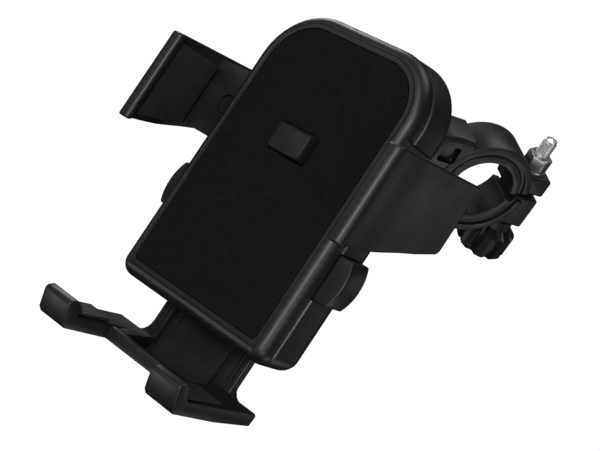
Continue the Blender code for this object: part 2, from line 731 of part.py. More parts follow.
def jaw():
    """The left jaw wall: rolled lip in front, a hollow behind it outside, round at the rear end."""
    sections = []
    for i in range(JAW_STEPS + 1):
        angle = math.pi / 2.0 * i / JAW_STEPS
        shrink = LIP_R * (1.0 - math.sin(angle))
        y = LIP_Y[0] + LIP_R * (1.0 - math.cos(angle))
        sections.append(jaw_section(y, LIP_X - shrink, -ARM_OUTER + corner_round(y), 0.5 * shrink))
    for i in range(1, JAW_STEPS + 1):
        angle = math.pi / 2.0 * i / JAW_STEPS
        drop = LIP_R * (1.0 - math.cos(angle))
        y = LIP_Y[1] - LIP_R * (1.0 - math.sin(angle))
        outer = -ARM_OUTER + corner_round(y) + 0.4 * HOLLOW_DEPTH * (1.0 - math.cos(angle))
        sections.append(jaw_section(y, LIP_X - drop, outer, 0.0))
    for i in range(2 * JAW_STEPS + 1):
        share = i / (2.0 * JAW_STEPS)
        y = LIP_Y[1] + 0.15 + (HOLLOW_END_Y - LIP_Y[1]) * share
        outer = -ARM_OUTER + HOLLOW_DEPTH * (0.4 + 0.6 * math.sin(math.pi * share)) * (1.0 - share)
        sections.append(jaw_section(y, -ARM_INNER, outer, 0.0))
    for y in (0.0, 5.0, 12.0, JAW_REAR_Y - REAR_R):
        sections.append(jaw_section(y, -ARM_INNER, -ARM_OUTER, 0.0))
    for i in range(1, JAW_STEPS + 1):
        angle = math.pi / 2.0 * i / JAW_STEPS
        shrink = 1.0 - math.cos(angle)
        thin = REAR_TAPER * shrink
        y = JAW_REAR_Y - REAR_R * (1.0 - math.sin(angle))
        sections.append(jaw_section(y, -ARM_INNER - thin, -ARM_OUTER + thin, REAR_R * shrink))
    return loft(sections)


def jaw_and_plate():
    """The left arm's outside: jaw wall with a rolled lip, sliding plate and its round boss."""
    wall = jaw()
    plate = box((-ARM_INNER - 1.0, -33.4), PLATE_Y, (MECH_Z - PLATE_HALF_Z, MECH_Z + PLATE_HALF_Z))
    gusset = prism([(-ARM_INNER - 0.5, PLATE_Y[0] + 0.2), (-ARM_INNER + 1.3, PLATE_Y[1] - 0.3),
                    (-ARM_INNER - 0.5, PLATE_Y[1] + 2.6)], "Z", 1.0, 22.4)
    boss = rod("Y", BOSS_XZ, 4.3, PLATE_Y[0] - 0.2, PLATE_Y[1] - 0.5, 24)
    join(wall, plate, gusset, boss)
    return cut(wall, rod("Y", BOSS_XZ, 3.5, 0.0, PLATE_Y[0] + 0.8, 24))


def rack_bar():
    """The left arm's inside: a bar above the pinion with its rack teeth and spring lug."""
    low_band = MECH_Z + PITCH_R + DEDENDUM
    high_band = MECH_Z + PLATE_HALF_Z
    bar = box((-33.8, -2.0), (PLATE_Y[0], GEAR_Y[1]), (low_band, high_band))
    nose = box((-3.0, 4.0), (PLATE_Y[1] + 0.4, GEAR_Y[1]), (low_band, high_band))
    lug = box((1.6, 4.0), (7.6, GEAR_Y[1]), (high_band - 0.5, high_band + 4.2))
    teeth = prism(rack_outline(-17.7, 4.0), "Y", GEAR_Y[0] - 0.5, GEAR_Y[1])
    return join(bar, nose, lug, teeth)


def half_turn(obj):
    """Turn a rack into its partner: half a turn about the pinion's axis."""
    move = Matrix.Translation((0.0, 0.0, MECH_Z))
    obj.data.transform(move @ Matrix.Rotation(math.pi, 4, "Y") @ move.inverted())
    return obj


def left_arm():
    """The left arm with its rack."""
    return join(jaw_and_plate(), rack_bar())


def right_arm():
    """The right arm: the left one's outside mirrored, its rack turned below the pinion."""
    outside = jaw_and_plate()
    other = mirrored(outside)
    bpy.data.objects.remove(outside, do_unlink=True)
    return join(other, half_turn(rack_bar()))


def jaw_pad():
    """The rubber sheet on the left jaw's inner face."""
    outline = [(-15.8, -8.2), (-12.0, -7.0), (-4.0, -4.4), (2.6, -1.4), (2.6, 21.0), (-15.8, 19.4)]
    return prism(outline, "X", -ARM_INNER + GAP, -ARM_INNER + 1.5, soft=0.3)


def rising_prism(outline, front_gap=0.0, back_gap=0.0):
    """A button-deep extrusion of an outline about the button's middle, rising towards the back."""
    sections = []
    for depth, rise in ((BUTTON_Y[0] + front_gap, 0.0), (BUTTON_Y[1] + back_gap, BUTTON_RISE)):
        sections.append([(x, depth, BUTTON_Z + rise + z) for x, z in outline])
    return loft(sections)


def release_button():
    """The left release button: a crescent key with a flange behind the side wall."""
    face = [(-31.6, 7.9)] + arc((-27.4, 0.0), 16.2, 151.0, 209.0, 10) + [(-31.6, -7.9)]
    key = rising_prism(face)
    soften(key, 0.5)
    flange = box((-33.7, -31.4), (4.5, 13.9), (BUTTON_Z - 9.6, BUTTON_Z + 9.9))
    return join(key, flange)


def shelf_top(y):
    """Height of the foot shelf's upper surface at a depth."""
    return SHELF_TOP_REAR_Z - SHELF_SLOPE * (SHELF_REAR_Y - y)


def wing(x_range):
    """One side of the foot shelf, with its upturned hook, drawn from the side in (y, z)."""
    outline = [(SHELF_REAR_Y, -69.3), (SHELF_REAR_Y + 0.3, -65.6), (SHELF_REAR_Y - 0.6, shelf_top(14.0)),
               (-13.9, shelf_top(-13.9)), (-14.7, -71.0), (-16.4, -67.4), (-18.2, -66.9),
               (-20.2, -68.2), (-20.6, -69.3), (-18.4, -75.4), (-16.8, -76.7), (0.2, -73.2)]
    return prism(outline, "X", x_range[0], x_range[1], soft=0.6)


def foot_slider():
    """The sliding foot: ribbed slider, sloping shelf, front rim and two hooks."""
    low, high = SLIDER_Y
    slider = box((-SLIDER_HALF, SLIDER_HALF), (low, high), (-68.0, -15.0), soft=0.4)
    body = prism([(SHELF_REAR_Y + 2.3, -69.0), (SHELF_REAR_Y + 2.3, -64.4), (13.0, -64.9), (2.6, -68.2),
                  (0.2, -68.5), (0.0, -73.1)], "X", -SLIDER_HALF - 1.0, SLIDER_HALF + 1.0, soft=0.5)
    wings = [wing(sorted((side * (HOOK_X[0] - 0.3), side * HOOK_X[1]))) for side in (-1.0, 1.0)]
    fillets = []
    for side in (-1.0, 1.0):
        corner = (side * (SLIDER_HALF + 5.0), -60.4)
        curve = arc(corner, 5.0, 180.0 if side > 0 else 360.0, 270.0, 5)
        outline = curve + [(side * (SLIDER_HALF + 5.0), -66.5), (side * (SLIDER_HALF - 1.0), -66.5),
                           (side * (SLIDER_HALF - 1.0), -60.4)]
        fillets.append(prism(outline, "Y", low + 0.2, SHELF_REAR_Y + 1.4))
    join(slider, body, *wings, *fillets)
    pocket = prism([(SHELF_REAR_Y - 0.6, -62.6), (SHELF_REAR_Y - 0.6, -67.2), (12.6, -69.4), (3.4, -71.2),
                    (2.2, -70.4), (2.2, -62.0)], "X", -16.6, 16.6)
    slots = []
    for side in (-1.0, 1.0):
        slots.append(box(sorted((side * 12.8, side * 16.6)), (low - 1.0, low + 1.5), (-66.6, -17.0)))
        slots.append(box(sorted((side * 18.2, side * 18.7)), (low - 1.0, low + 0.35), (-62.0, -17.0)))
        slots.append(box(sorted((side * 19.8, side * 20.3)), (low - 1.0, low + 0.35), (-62.0, -17.0)))
    for i in range(RIB_COUNT):
        middle = -61.4 + RIB_PITCH * i
        slots.append(box((-12.2, 12.2), (low - 1.0, low + 0.6), (middle - 0.45, middle + 0.45)))
    return cut(slider, pocket, *slots)


def foot_pad():
    """The rubber corner pad of the right hook, an L seen from the side."""
    lift = GAP
    thick = 1.3
    outline = [(-0.8, shelf_top(-0.8) + lift), (-0.8, shelf_top(-0.8) + thick),
               (-12.6, shelf_top(-12.6) + thick), (-14.9, -67.6), (-15.9, -67.9),
               (-14.0, shelf_top(-14.0) + lift + 0.3), (-13.2, shelf_top(-13.2) + lift)]
    return prism(outline, "X", HOOK_X[0] + 1.0, HOOK_X[1] - 1.2)


def foot_detent():
    """The leaf that rides the slider's ribs, held on the channel's inner face."""
    profile = [(13.4, -34.0), (13.4, -20.0), (13.9, -20.0), (13.9, -26.0), (14.2, -27.0), (13.9, -28.0),
               (13.9, -34.0)]
    return prism(profile, "X", -4.0, 4.0)


def build():
    """Make every piece and hang it on its body."""
    handlebar = pivot("handlebar_side", CLAMP_FRAME, (0.0, 0.0, 0.0))
    lower = pivot("lower_jaw_body", CLAMP_FRAME, (0.0, HINGE_YZ[0], HINGE_YZ[1]))
    screw = pivot("screw_body", CLAMP_FRAME, (0.0, 0.0, SCREW_Z))
    tilt = pivot("tilt_body", HEAD_FRAME, BALL_CENTRE)
    pan = pivot("pan_body", HEAD_FRAME, BALL_CENTRE)
    head = pivot("head_body", HEAD_FRAME, BALL_CENTRE)
    ring = pivot("ring_body", HEAD_FRAME, BALL_CENTRE)
    left = pivot("left_arm_body", HEAD_FRAME, (-ARM_INNER, 0.0, MECH_Z))
    right = pivot("right_arm_body", HEAD_FRAME, (ARM_INNER, 0.0, MECH_Z))
    gear = pivot("pinion_body", HEAD_FRAME, (0.0, GEAR_Y[0], MECH_Z))
    trigger = pivot("trigger_body", HEAD_FRAME, (0.0, 0.0, TRIGGER_Z))
    left_key = pivot("left_button_body", HEAD_FRAME, (-BODY_HALF[0], 9.4, BUTTON_Z))
    right_key = pivot("right_button_body", HEAD_FRAME, (BODY_HALF[0], 9.4, BUTTON_Z))
    foot = pivot("foot_body", HEAD_FRAME, (0.0, SLIDER_Y[0], -52.0))

    finish(clamp_body(), "clamp_body", CLAMP_FRAME, handlebar, "black_plastic")
    finish(liner(6.0, 174.0), "upper_liner", CLAMP_FRAME, handlebar, "black_rubber")
    finish(rod("X", HINGE_YZ, 1.5, 0.2 - RING_HALF, RING_HALF - 0.2, 16), "hinge_pin", CLAMP_FRAME,
           handlebar, "zinc_steel")
    finish(hex_nut(), "hex_nut", CLAMP_FRAME, handlebar, "zinc_steel")
    finish(lock_washer(), "washer", CLAMP_FRAME, handlebar, "zinc_steel")
    finish(clamp_lower_jaw(), "clamp_lower_jaw", CLAMP_FRAME, lower, "black_plastic")
    finish(liner(-174.0, -40.0), "lower_liner", CLAMP_FRAME, lower, "black_rubber")
    finish(thumb_knob(), "thumb_knob", CLAMP_FRAME, screw, "black_plastic")
    finish(clamp_screw(), "clamp_screw", CLAMP_FRAME, screw, "zinc_steel")

    finish(shell_zone(59.5, 70.0), "ball_friction_ring", HEAD_FRAME, tilt, "white_nylon")
    finish(shell_zone(121.0, 180.0), "socket_cup", HEAD_FRAME, pan, "white_nylon")
    finish(socket_ring_nut(), "socket_ring_nut", HEAD_FRAME, ring, "black_plastic")

    finish(face_pad(), "face_pad", HEAD_FRAME, head, "pad_foam")
    finish(front_shell(), "front_shell", HEAD_FRAME, head, "black_plastic")
    finish(rear_shell(), "rear_shell", HEAD_FRAME, head, "black_plastic")
    for i, place in enumerate(CASE_SCREWS):
        finish(case_screw(place), "case_screw_%d" % (i + 1), HEAD_FRAME, head, "zinc_steel")
    finish(channel_cover(), "channel_cover", HEAD_FRAME, head, "black_plastic")
    finish(latch_plate(), "latch_plate", HEAD_FRAME, head, "spring_steel")
    finish(rod("Y", (0.0, MECH_Z), 1.5, GEAR_Y[0] - 0.2, 14.5, 16), "pinion_pin", HEAD_FRAME, head,
           "zinc_steel")
    finish(foot_detent(), "foot_detent_leaf", HEAD_FRAME, head, "spring_steel")
    finish(pinion_gear(), "pinion_gear", HEAD_FRAME, gear, "white_nylon")
    finish(trigger_button(), "trigger_button", HEAD_FRAME, trigger, "trigger_plastic")
    finish(coil("Y", (0.0, TRIGGER_Z), 3.2, 0.4, 5.3, 7.2, 3), "trigger_spring", HEAD_FRAME, head,
           "spring_steel")

    finish(left_arm(), "left_arm", HEAD_FRAME, left, "black_plastic")
    finish(right_arm(), "right_arm", HEAD_FRAME, right, "black_plastic")
    pad = jaw_pad()
    finish(mirrored(pad), "right_jaw_pad", HEAD_FRAME, right, "black_rubber")
    finish(pad, "left_jaw_pad", HEAD_FRAME, left, "black_rubber")
    lug_z = PLATE_HALF_Z + 2.3
    finish(coil("X", (9.4, MECH_Z + lug_z), 1.6, 0.45, -33.0, 1.2, 8), "left_arm_spring", HEAD_FRAME,
           head, "spring_steel")
    finish(coil("X", (9.4, MECH_Z - lug_z), 1.6, 0.45, -1.2, 33.0, 8), "right_arm_spring", HEAD_FRAME,
           head, "spring_steel")

    key = release_button()
    finish(mirrored(key), "right_release_button", HEAD_FRAME, right_key, "black_plastic")
    finish(key, "left_release_button", HEAD_FRAME, left_key, "black_plastic")
    centre, radius, wire, low, high, turns = BUTTON_SPRING
    finish(coil("X", centre, radius, wire, low, high, turns), "right_button_spring", HEAD_FRAME, head,
           "spring_steel")
    finish(coil("X", centre, radius, wire, -high, -low, turns), "left_button_spring", HEAD_FRAME, head,
           "spring_steel")

    finish(foot_slider(), "foot_slider", HEAD_FRAME, foot, "black_plastic")
    pad = foot_pad()
    finish(mirrored(pad), "left_foot_pad", HEAD_FRAME, foot, "black_rubber")
    finish(pad, "right_foot_pad", HEAD_FRAME, foot, "black_rubber")


build()
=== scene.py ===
"""Looks of the phone handlebar mount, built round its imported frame.

Each visible piece is remade at a finer step from the same driving dimensions and rides on its body.
Shapes are drawn in millimetres, in the head frame or the clamp frame, and scaled to metres.
"""
import math

import bmesh
import bpy
from mathutils import Matrix, Vector


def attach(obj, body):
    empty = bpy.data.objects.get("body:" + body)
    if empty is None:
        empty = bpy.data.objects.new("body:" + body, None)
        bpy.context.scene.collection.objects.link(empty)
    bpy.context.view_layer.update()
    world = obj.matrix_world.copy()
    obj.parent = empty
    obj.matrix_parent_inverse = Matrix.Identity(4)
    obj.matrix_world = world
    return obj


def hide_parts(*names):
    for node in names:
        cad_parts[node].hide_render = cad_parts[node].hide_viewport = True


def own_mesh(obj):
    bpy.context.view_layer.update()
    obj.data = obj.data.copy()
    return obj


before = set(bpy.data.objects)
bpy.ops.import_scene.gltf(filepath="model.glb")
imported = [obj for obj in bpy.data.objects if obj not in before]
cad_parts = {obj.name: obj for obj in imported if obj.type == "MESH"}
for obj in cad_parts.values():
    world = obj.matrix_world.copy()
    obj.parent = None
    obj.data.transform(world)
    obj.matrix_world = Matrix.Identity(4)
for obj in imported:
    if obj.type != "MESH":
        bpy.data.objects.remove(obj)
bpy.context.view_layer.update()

MM = 0.001

# Handlebar clamp (clamp frame, origin at the bore centre)
BAR_AXIS = Vector((0.874, -0.151, -0.462)).normalized()
SCREW_HINT = Vector((0.363, -0.432, 0.826))
BALL_DISTANCE = 44.8
BAR_R = 11.1
LINER_R = 14.0
HOUSING_R = 14.3
RING_R = 17.8
RING_HALF = 7.2
SCREW_Z = -18.0
EAR_END_Z = -24.0
EAR_HALF = 6.2
UPPER_EAR = (2.6, 9.4)
LOWER_EAR = (-11.4, 0.6)
SCREW_R = 2.5
SCREW_TIP = 22.6
NUT_FLATS = 8.0
HINGE_YZ = (-8.5, 19.5)
KNUCKLE_R = 3.6
KNUCKLE_HALF = 3.0
KNOB_R = 9.2
NECK_ROWS = ((12.0, -5.0, 16.6, 7.0), (18.0, -7.0, 16.9, 6.9), (24.0, -9.6, 15.6, 6.6),
             (29.0, -8.0, 11.5, 5.8), (32.0, -5.4, 5.4, 4.7))
POCKET_X = 5.0
KNOB_STEPS = 160
KNOB_FLUTES = 8

# Ball joint (head frame)
BALL_CENTRE = Vector((0.0, 27.2, 23.8))
BALL_R = 8.5
SHELL_IN = 8.85
SHELL_OUT = 9.8
SEAT_R = 10.15
STUB_R = 11.8
MOUTH_DEG = 58.0
STEM_R = 3.5

# Cradle head (head frame)
BODY_HALF = (36.3, 52.3)
BODY_CORNERS = (21.0, 4.8)
PAD_HALF = (30.7, 46.6)
PAD_CORNERS = (15.5, 1.8)
PAD_T = 1.2
FRAME_BACK_Y = 3.5
SEAM_Y = 5.4
BACK_Y = 17.0
SIDE_SWELL = 1.5
TOP_RISE = 1.2
FLOOR_RISE = 2.6
WALL = 2.2
REAR_WALL_Y = 14.2
EDGE_STEPS = 9
FINE = 3  # points on a round edge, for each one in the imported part
GAP = 0.3

# Gear train: two racks and a pinion
MECH_Z = 11.75
MODULE = 1.25
TEETH = 10
PRESSURE = math.radians(25.0)
PITCH_R = MODULE * TEETH / 2.0
ADDENDUM = 1.0
DEDENDUM = 1.35
BACKLASH = 0.3
GEAR_Y = (8.4, 11.3)

# Arms, trigger, release buttons and foot
ARM_INNER = 51.9
ARM_OUTER = 54.7
LIP_X = -48.9
LIP_Y = (-20.2, -16.9)
LIP_R = 1.5
HOLLOW_DEPTH = 1.0
HOLLOW_END_Y = -5.0
JAW_REAR_Y = 21.3
JAW_FOOT = ((-20.2, -11.4), (-12.0, -9.2), (-4.0, -6.6), (5.0, -2.6), (12.0, 0.2),
            (18.4, 2.6), (21.4, 5.0))
JAW_TOP = ((-20.2, 21.5), (21.4, 28.2))
JAW_EDGE = 0.8
CORNER_R = 2.8
REAR_R = 1.4
REAR_TAPER = 0.9
JAW_STEPS = 10
PLATE_Y = (3.95, 6.3)
PLATE_HALF_Z = 12.45
TRIGGER_Z = 10.0
TRIGGER_HALF = (7.5, 4.55)
BUTTON_Z = -19.4
BUTTON_Y = (5.8, 13.7)
BUTTON_RISE = 1.6
BUTTON_SPRING = ((9.4, BUTTON_Z), 2.0, 0.5, 26.0, 31.0, 4)
SLIDER_HALF = 22.0
SLIDER_Y = (14.35, 17.0)
CHANNEL_TOP_Z = -4.0
SHELF_SLOPE = 0.227
SHELF_REAR_Y = 14.7
SHELF_TOP_REAR_Z = -64.8
HOOK_X = (22.0, 35.6)
BOSS_XZ = (-39.0, 11.2)
RIB_COUNT = 31
RIB_PITCH = 1.4
CASE_SCREWS = ((-25.0, 39.0), (25.0, 39.0), (-29.0, -42.0), (29.0, -42.0))


def clamp_axes():
    """The clamp frame's axes, as columns, in head-frame directions."""
    x_axis = BAR_AXIS
    z_axis = x_axis.cross(SCREW_HINT).normalized()
    y_axis = z_axis.cross(x_axis).normalized()
    return Matrix((x_axis, y_axis, z_axis)).transposed()


CLAMP_ROT = clamp_axes()
TO_HEAD = CLAMP_ROT.col[2]
BORE_CENTRE = BALL_CENTRE - BALL_DISTANCE * TO_HEAD
HEAD_FRAME = Matrix.Scale(MM, 4) @ Matrix.Translation(-BORE_CENTRE)
CLAMP_FRAME = Matrix.Scale(MM, 4) @ CLAMP_ROT.to_4x4()


# ---------------------------------------------------------------- tools

def make_object(name, bm):
    """Close a bmesh into an object whose faces point out."""
    bmesh.ops.recalc_face_normals(bm, faces=bm.faces)
    mesh = bpy.data.meshes.new(name)
    bm.to_mesh(mesh)
    bm.free()
    obj = bpy.data.objects.new(name, mesh)
    bpy.context.collection.objects.link(obj)
    return obj


def loft(sections, name="loft"):
    """Skin a list of equal-length point rings and cap both ends."""
    bm = bmesh.new()
    rings = [[bm.verts.new(point) for point in ring] for ring in sections]
    count = len(rings[0])
    for low, high in zip(rings, rings[1:]):
        for i in range(count):
            j = (i + 1) % count
            bm.faces.new((low[i], low[j], high[j], high[i]))
    bm.faces.new(list(reversed(rings[0])))
    bm.faces.new(rings[-1])
    return make_object(name, bm)


def at(axis, depth, point):
    """A 2-D point placed at a depth along axis X, Y or Z."""
    first, second = point
    if axis == "X":
        return Vector((depth, first, second))
    if axis == "Y":
        return Vector((first, depth, second))
    return Vector((first, second, depth))


def prism(outline, axis, low, high, soft=0.0, steps=1):
    """A straight extrusion of an outline, with its edges softened."""
    obj = loft([[at(axis, depth, point) for point in outline] for depth in (low, high)], "prism")
    if soft > 0.0:
        soften(obj, soft, steps)
    return obj


def soften(obj, width, steps=1, limit=35.0):
    """Bevel every edge sharper than the limit."""
    bm = bmesh.new()
    bm.from_mesh(obj.data)
    sharp = [edge for edge in bm.edges if edge.calc_face_angle(0.0) > math.radians(limit)]
    bmesh.ops.bevel(bm, geom=sharp, offset=width, segments=steps + 2, profile=0.5, affect="EDGES",
                    clamp_overlap=True)
    bm.to_mesh(obj.data)
    bm.free()


def box(x_range, y_range, z_range, soft=0.0, steps=1):
    """A block between three ranges."""
    outline = [(x_range[0], y_range[0]), (x_range[1], y_range[0]),
               (x_range[1], y_range[1]), (x_range[0], y_range[1])]
    return prism(outline, "Z", z_range[0], z_range[1], soft, steps)


def arc(centre, radius, start, end, steps):
    """Points on an arc, in degrees, both ends included."""
    points = []
    for i in range(steps + 1):
        angle = math.radians(start + (end - start) * i / steps)
        points.append((centre[0] + radius * math.cos(angle), centre[1] + radius * math.sin(angle)))
    return points


def rounded_rect(half, corners, steps, centre=(0.0, 0.0)):
    """A rectangle with one radius at its top corners and one at its bottom corners."""
    top, bottom = corners
    wide, tall = half
    points = []
    for sx, sz, radius, start in ((1, 1, top, 0), (-1, 1, top, 90),
                                  (-1, -1, bottom, 180), (1, -1, bottom, 270)):
        middle = (centre[0] + sx * (wide - radius), centre[1] + sz * (tall - radius))
        points += arc(middle, radius, start, start + 90, steps * FINE)
    return points


def inset_rect(half, corners, steps, inset, centre=(0.0, 0.0)):
    """The same rounded rectangle, drawn inset."""
    smaller = (half[0] - inset, half[1] - inset)
    radii = tuple(max(radius - inset, 0.3) for radius in corners)
    return rounded_rect(smaller, radii, steps, centre)


def turned(profile, axis, centre=(0.0, 0.0, 0.0), steps=32):
    """Turn (radius, height) points, an outline that touches or surrounds the axis, into a solid."""
    bm = bmesh.new()
    steps *= FINE
    centre = Vector(centre)
    rings = []
    for radius, height in profile:
        if radius < 1e-6:
            rings.append([bm.verts.new(centre + at(axis, height, (0.0, 0.0)))])
            continue
        rings.append([bm.verts.new(centre + at(axis, height, point))
                      for point in arc((0.0, 0.0), radius, 0.0, 360.0, steps)[:-1]])
    pairs = list(zip(rings, rings[1:]))
    if len(rings[0]) > 1 and len(rings[-1]) > 1:
        pairs.append((rings[-1], rings[0]))
    for low, high in pairs:
        for i in range(steps):
            j = (i + 1) % steps
            if len(low) == 1 and len(high) == 1:
                continue
            if len(low) == 1:
                bm.faces.new((low[0], high[j], high[i]))
            elif len(high) == 1:
                bm.faces.new((low[i], low[j], high[0]))
            else:
                bm.faces.new((low[i], low[j], high[j], high[i]))
    return make_object("turned", bm)


def rod(axis, centre, radius, low, high, steps=20):
    """A cylinder along X, Y or Z through a 2-D centre."""
    return prism(arc(centre, radius, 0.0, 360.0, steps * FINE)[:-1], axis, low, high)


def combine(target, tools, operation):
    """Apply one exact Boolean for each tool and delete the tools."""
    for tool in tools:
        modifier = target.modifiers.new("combine", "BOOLEAN")
        modifier.operation = operation
        modifier.object = tool
        graph = bpy.context.evaluated_depsgraph_get()
        mesh = bpy.data.meshes.new_from_object(target.evaluated_get(graph))
        target.modifiers.clear()
        target.data = mesh
        bpy.data.objects.remove(tool, do_unlink=True)
    return target


def join(target, *tools):
    """Fuse the tools into the target."""
    return combine(target, tools, "UNION")


def cut(target, *tools):
    """Take the tools away from the target."""
    return combine(target, tools, "DIFFERENCE")


def mirrored(obj):
    """A copy of an object reflected left to right."""
    copy = obj.copy()
    copy.data = obj.data.copy()
    bpy.context.collection.objects.link(copy)
    copy.data.transform(Matrix.Scale(-1.0, 4, (1.0, 0.0, 0.0)))
    copy.data.flip_normals()
    return copy


def coil(axis, centre, radius, wire, low, high, turns, steps=20):
    """A round-wire helix with closed ends."""
    curve = bpy.data.curves.new("coil", "CURVE")
    curve.dimensions = "3D"
    curve.bevel_depth = wire / 2.0
    curve.bevel_resolution = 3
    curve.use_fill_caps = True
    count = int(turns * steps) + 1
    spline = curve.splines.new("POLY")
    spline.points.add(count - 1)
    for i in range(count):
        angle = 2.0 * math.pi * i / steps
        depth = low + (high - low) * i / (count - 1)
        point = at(axis, depth, (centre[0] + radius * math.cos(angle),
                                 centre[1] + radius * math.sin(angle)))
        spline.points[i].co = (*point, 1.0)
    holder = bpy.data.objects.new("coil", curve)
    bpy.context.collection.objects.link(holder)
    graph = bpy.context.evaluated_depsgraph_get()
    mesh = bpy.data.meshes.new_from_object(holder.evaluated_get(graph))
    bpy.data.objects.remove(holder, do_unlink=True)
    bm = bmesh.new()
    bm.from_mesh(mesh)
    bmesh.ops.remove_doubles(bm, verts=bm.verts, dist=1e-5)
    return make_object("coil", bm)


# ---------------------------------------------------------------- handlebar clamp

def ring_sector(inner, outer, start, end, half, steps):
    """Part of a ring about the bar, angles measured from the clamp frame's z towards y."""
    outline = []
    for z, y in arc((0.0, 0.0), outer, start, end, steps * FINE):
        outline.append((y, z))
    for z, y in arc((0.0, 0.0), inner, end, start, steps * FINE):
        outline.append((y, z))
    return prism(outline, "X", -half, half, soft=0.35)


def screw_hole(radius, low, high):
    """A cutter along the clamp screw."""
    return rod("Y", (0.0, SCREW_Z), radius, low, high)


def neck():
    """The tapering arm from the ring to the ball stem."""
    sections = []
    for z, low, high, half in NECK_ROWS:
        centre = (0.0, (low + high) / 2.0)
        outline = rounded_rect((half, (high - low) / 2.0), (1.8, 1.8), 2, centre)
        sections.append([Vector((x, y, z)) for x, y in outline])
    return loft(sections)


def ball_and_stem():
    """The stem and the ball it carries, turned about the clamp frame's z."""
    start = math.degrees(math.asin(STEM_R / BALL_R))
    profile = [(0.0, 30.0), (STEM_R, 30.0)]
    for i in range(25):
        angle = math.radians(start + (180.0 - start) * i / 24)
        profile.append((BALL_R * math.sin(angle), BALL_DISTANCE - BALL_R * math.cos(angle)))
    profile[-1] = (0.0, BALL_DISTANCE + BALL_R)
    return turned(profile, "Z", steps=24)


def clamp_body():
    """Upper half of the handlebar clamp with its ear, neck, stem and ball."""
    obj = ring_sector(HOUSING_R, RING_R, -20.0, 171.0, RING_HALF, 24)
    ear = box((-EAR_HALF, EAR_HALF), UPPER_EAR, (EAR_END_Z, -12.0), soft=0.8)
    knuckle = rod("X", HINGE_YZ, KNUCKLE_R, -RING_HALF, RING_HALF)
    join(obj, ear, neck(), knuckle, ball_and_stem())
    cutters = [rod("X", (0.0, 0.0), HOUSING_R, -20.0, 20.0, 40)]
    cutters.append(rod("X", HINGE_YZ, KNUCKLE_R + 0.5, -KNUCKLE_HALF - 0.35, KNUCKLE_HALF + 0.35))
    cutters.append(rod("X", HINGE_YZ, 1.6, -20.0, 20.0, 16))
    cutters.append(screw_hole(SCREW_R + 0.3, -20.0, 12.0))
    cutters.append(screw_hole(5.5, UPPER_EAR[1], 22.0))
    for side in (-1.0, 1.0):
        span = sorted((side * POCKET_X, side * 12.0))
        cutters.append(box(span, (6.3, 13.0), (15.6, 22.2), soft=1.2, steps=2))
        groove = sorted((side * (RING_HALF - 0.9), side * 12.0))
        cutters.append(rod("X", (0.0, 0.0), HOUSING_R + 1.1, groove[0], groove[1], 40))
    return cut(obj, *cutters)


def clamp_lower_jaw():
    """Lower half of the handlebar clamp with its ear and hinge knuckle."""
    obj = ring_sector(HOUSING_R, RING_R, -178.0, -34.0, RING_HALF, 18)
    ear = box((-EAR_HALF, EAR_HALF), LOWER_EAR, (EAR_END_Z, -12.0), soft=0.8)
    web = prism([(-10.0, 23.0), (-12.1, 19.6), (-15.6, 11.5), (-14.6, 9.6), (-9.4, 14.0), (-5.6, 17.4)],
                "X", -KNUCKLE_HALF, KNUCKLE_HALF)
    knuckle = rod("X", HINGE_YZ, KNUCKLE_R, -KNUCKLE_HALF, KNUCKLE_HALF)
    join(obj, ear, web, knuckle)
    cutters = [rod("X", (0.0, 0.0), HOUSING_R, -20.0, 20.0, 40)]
    cutters.append(rod("X", HINGE_YZ, 1.6, -20.0, 20.0, 16))
    cutters.append(screw_hole(SCREW_R + 0.8, -20.0, 6.0))
    cutters.append(screw_hole(7.2, -20.0, LOWER_EAR[0]))
    cutters.append(box((-20.0, 20.0), (LOWER_EAR[1], 12.0), (-30.0, -8.0)))
    for side in (-1.0, 1.0):
        span = sorted((side * (KNUCKLE_HALF + 0.1), side * 12.0))
        cutters.append(rod("X", HINGE_YZ, KNUCKLE_R + 0.5, span[0], span[1]))
        groove = sorted((side * (RING_HALF - 0.9), side * 12.0))
        cutters.append(rod("X", (0.0, 0.0), HOUSING_R + 1.1, groove[0], groove[1], 40))
    return cut(obj, *cutters)


def liner(start, end):
    """Half of the rubber sleeve between clamp and bar."""
    return ring_sector(BAR_R, LINER_R, start, end, RING_HALF - 0.4, 18)


def thumb_knob():
    """The fluted knob, moulded round the screw's lower end."""
    sections = []
    for y, radius, depth in ((-11.9, 5.6, 0.0), (-15.0, 6.2, 0.0), (-17.2, KNOB_R, 1.7),
                             (-25.0, KNOB_R, 1.7), (-26.4, KNOB_R - 1.3, 1.2)):
        ring = []
        for i in range(KNOB_STEPS):
            angle = 2.0 * math.pi * i / KNOB_STEPS
            lobe = max(0.0, math.cos(KNOB_FLUTES * angle)) ** 0.7
            reach = radius - depth * lobe
            ring.append(Vector((reach * math.cos(angle), y, SCREW_Z + reach * math.sin(angle))))
        sections.append(ring)
    return cut(loft(sections), screw_hole(SCREW_R + 0.3, -23.6, -5.0))


def hex_nut():
    """An M5 nut with chamfered corners."""
    corner = NUT_FLATS / math.sqrt(3.0)
    low = UPPER_EAR[1] + 1.2
    hexagon = arc((0.0, SCREW_Z), corner, 0.0, 360.0, 6)[:-1]
    obj = prism(hexagon, "Y", low, low + 4.7, soft=0.35)
    return cut(obj, screw_hole(SCREW_R + 0.12, 0.0, 30.0))


def lock_washer():
    """The washer under the nut."""
    low = UPPER_EAR[1] + 0.1
    profile = [(SCREW_R + 0.2, low), (4.7, low), (4.7, low + 1.0), (SCREW_R + 0.2, low + 1.0)]
    return turned(profile, "Y", (0.0, 0.0, SCREW_Z), 28)


# ---------------------------------------------------------------- ball joint

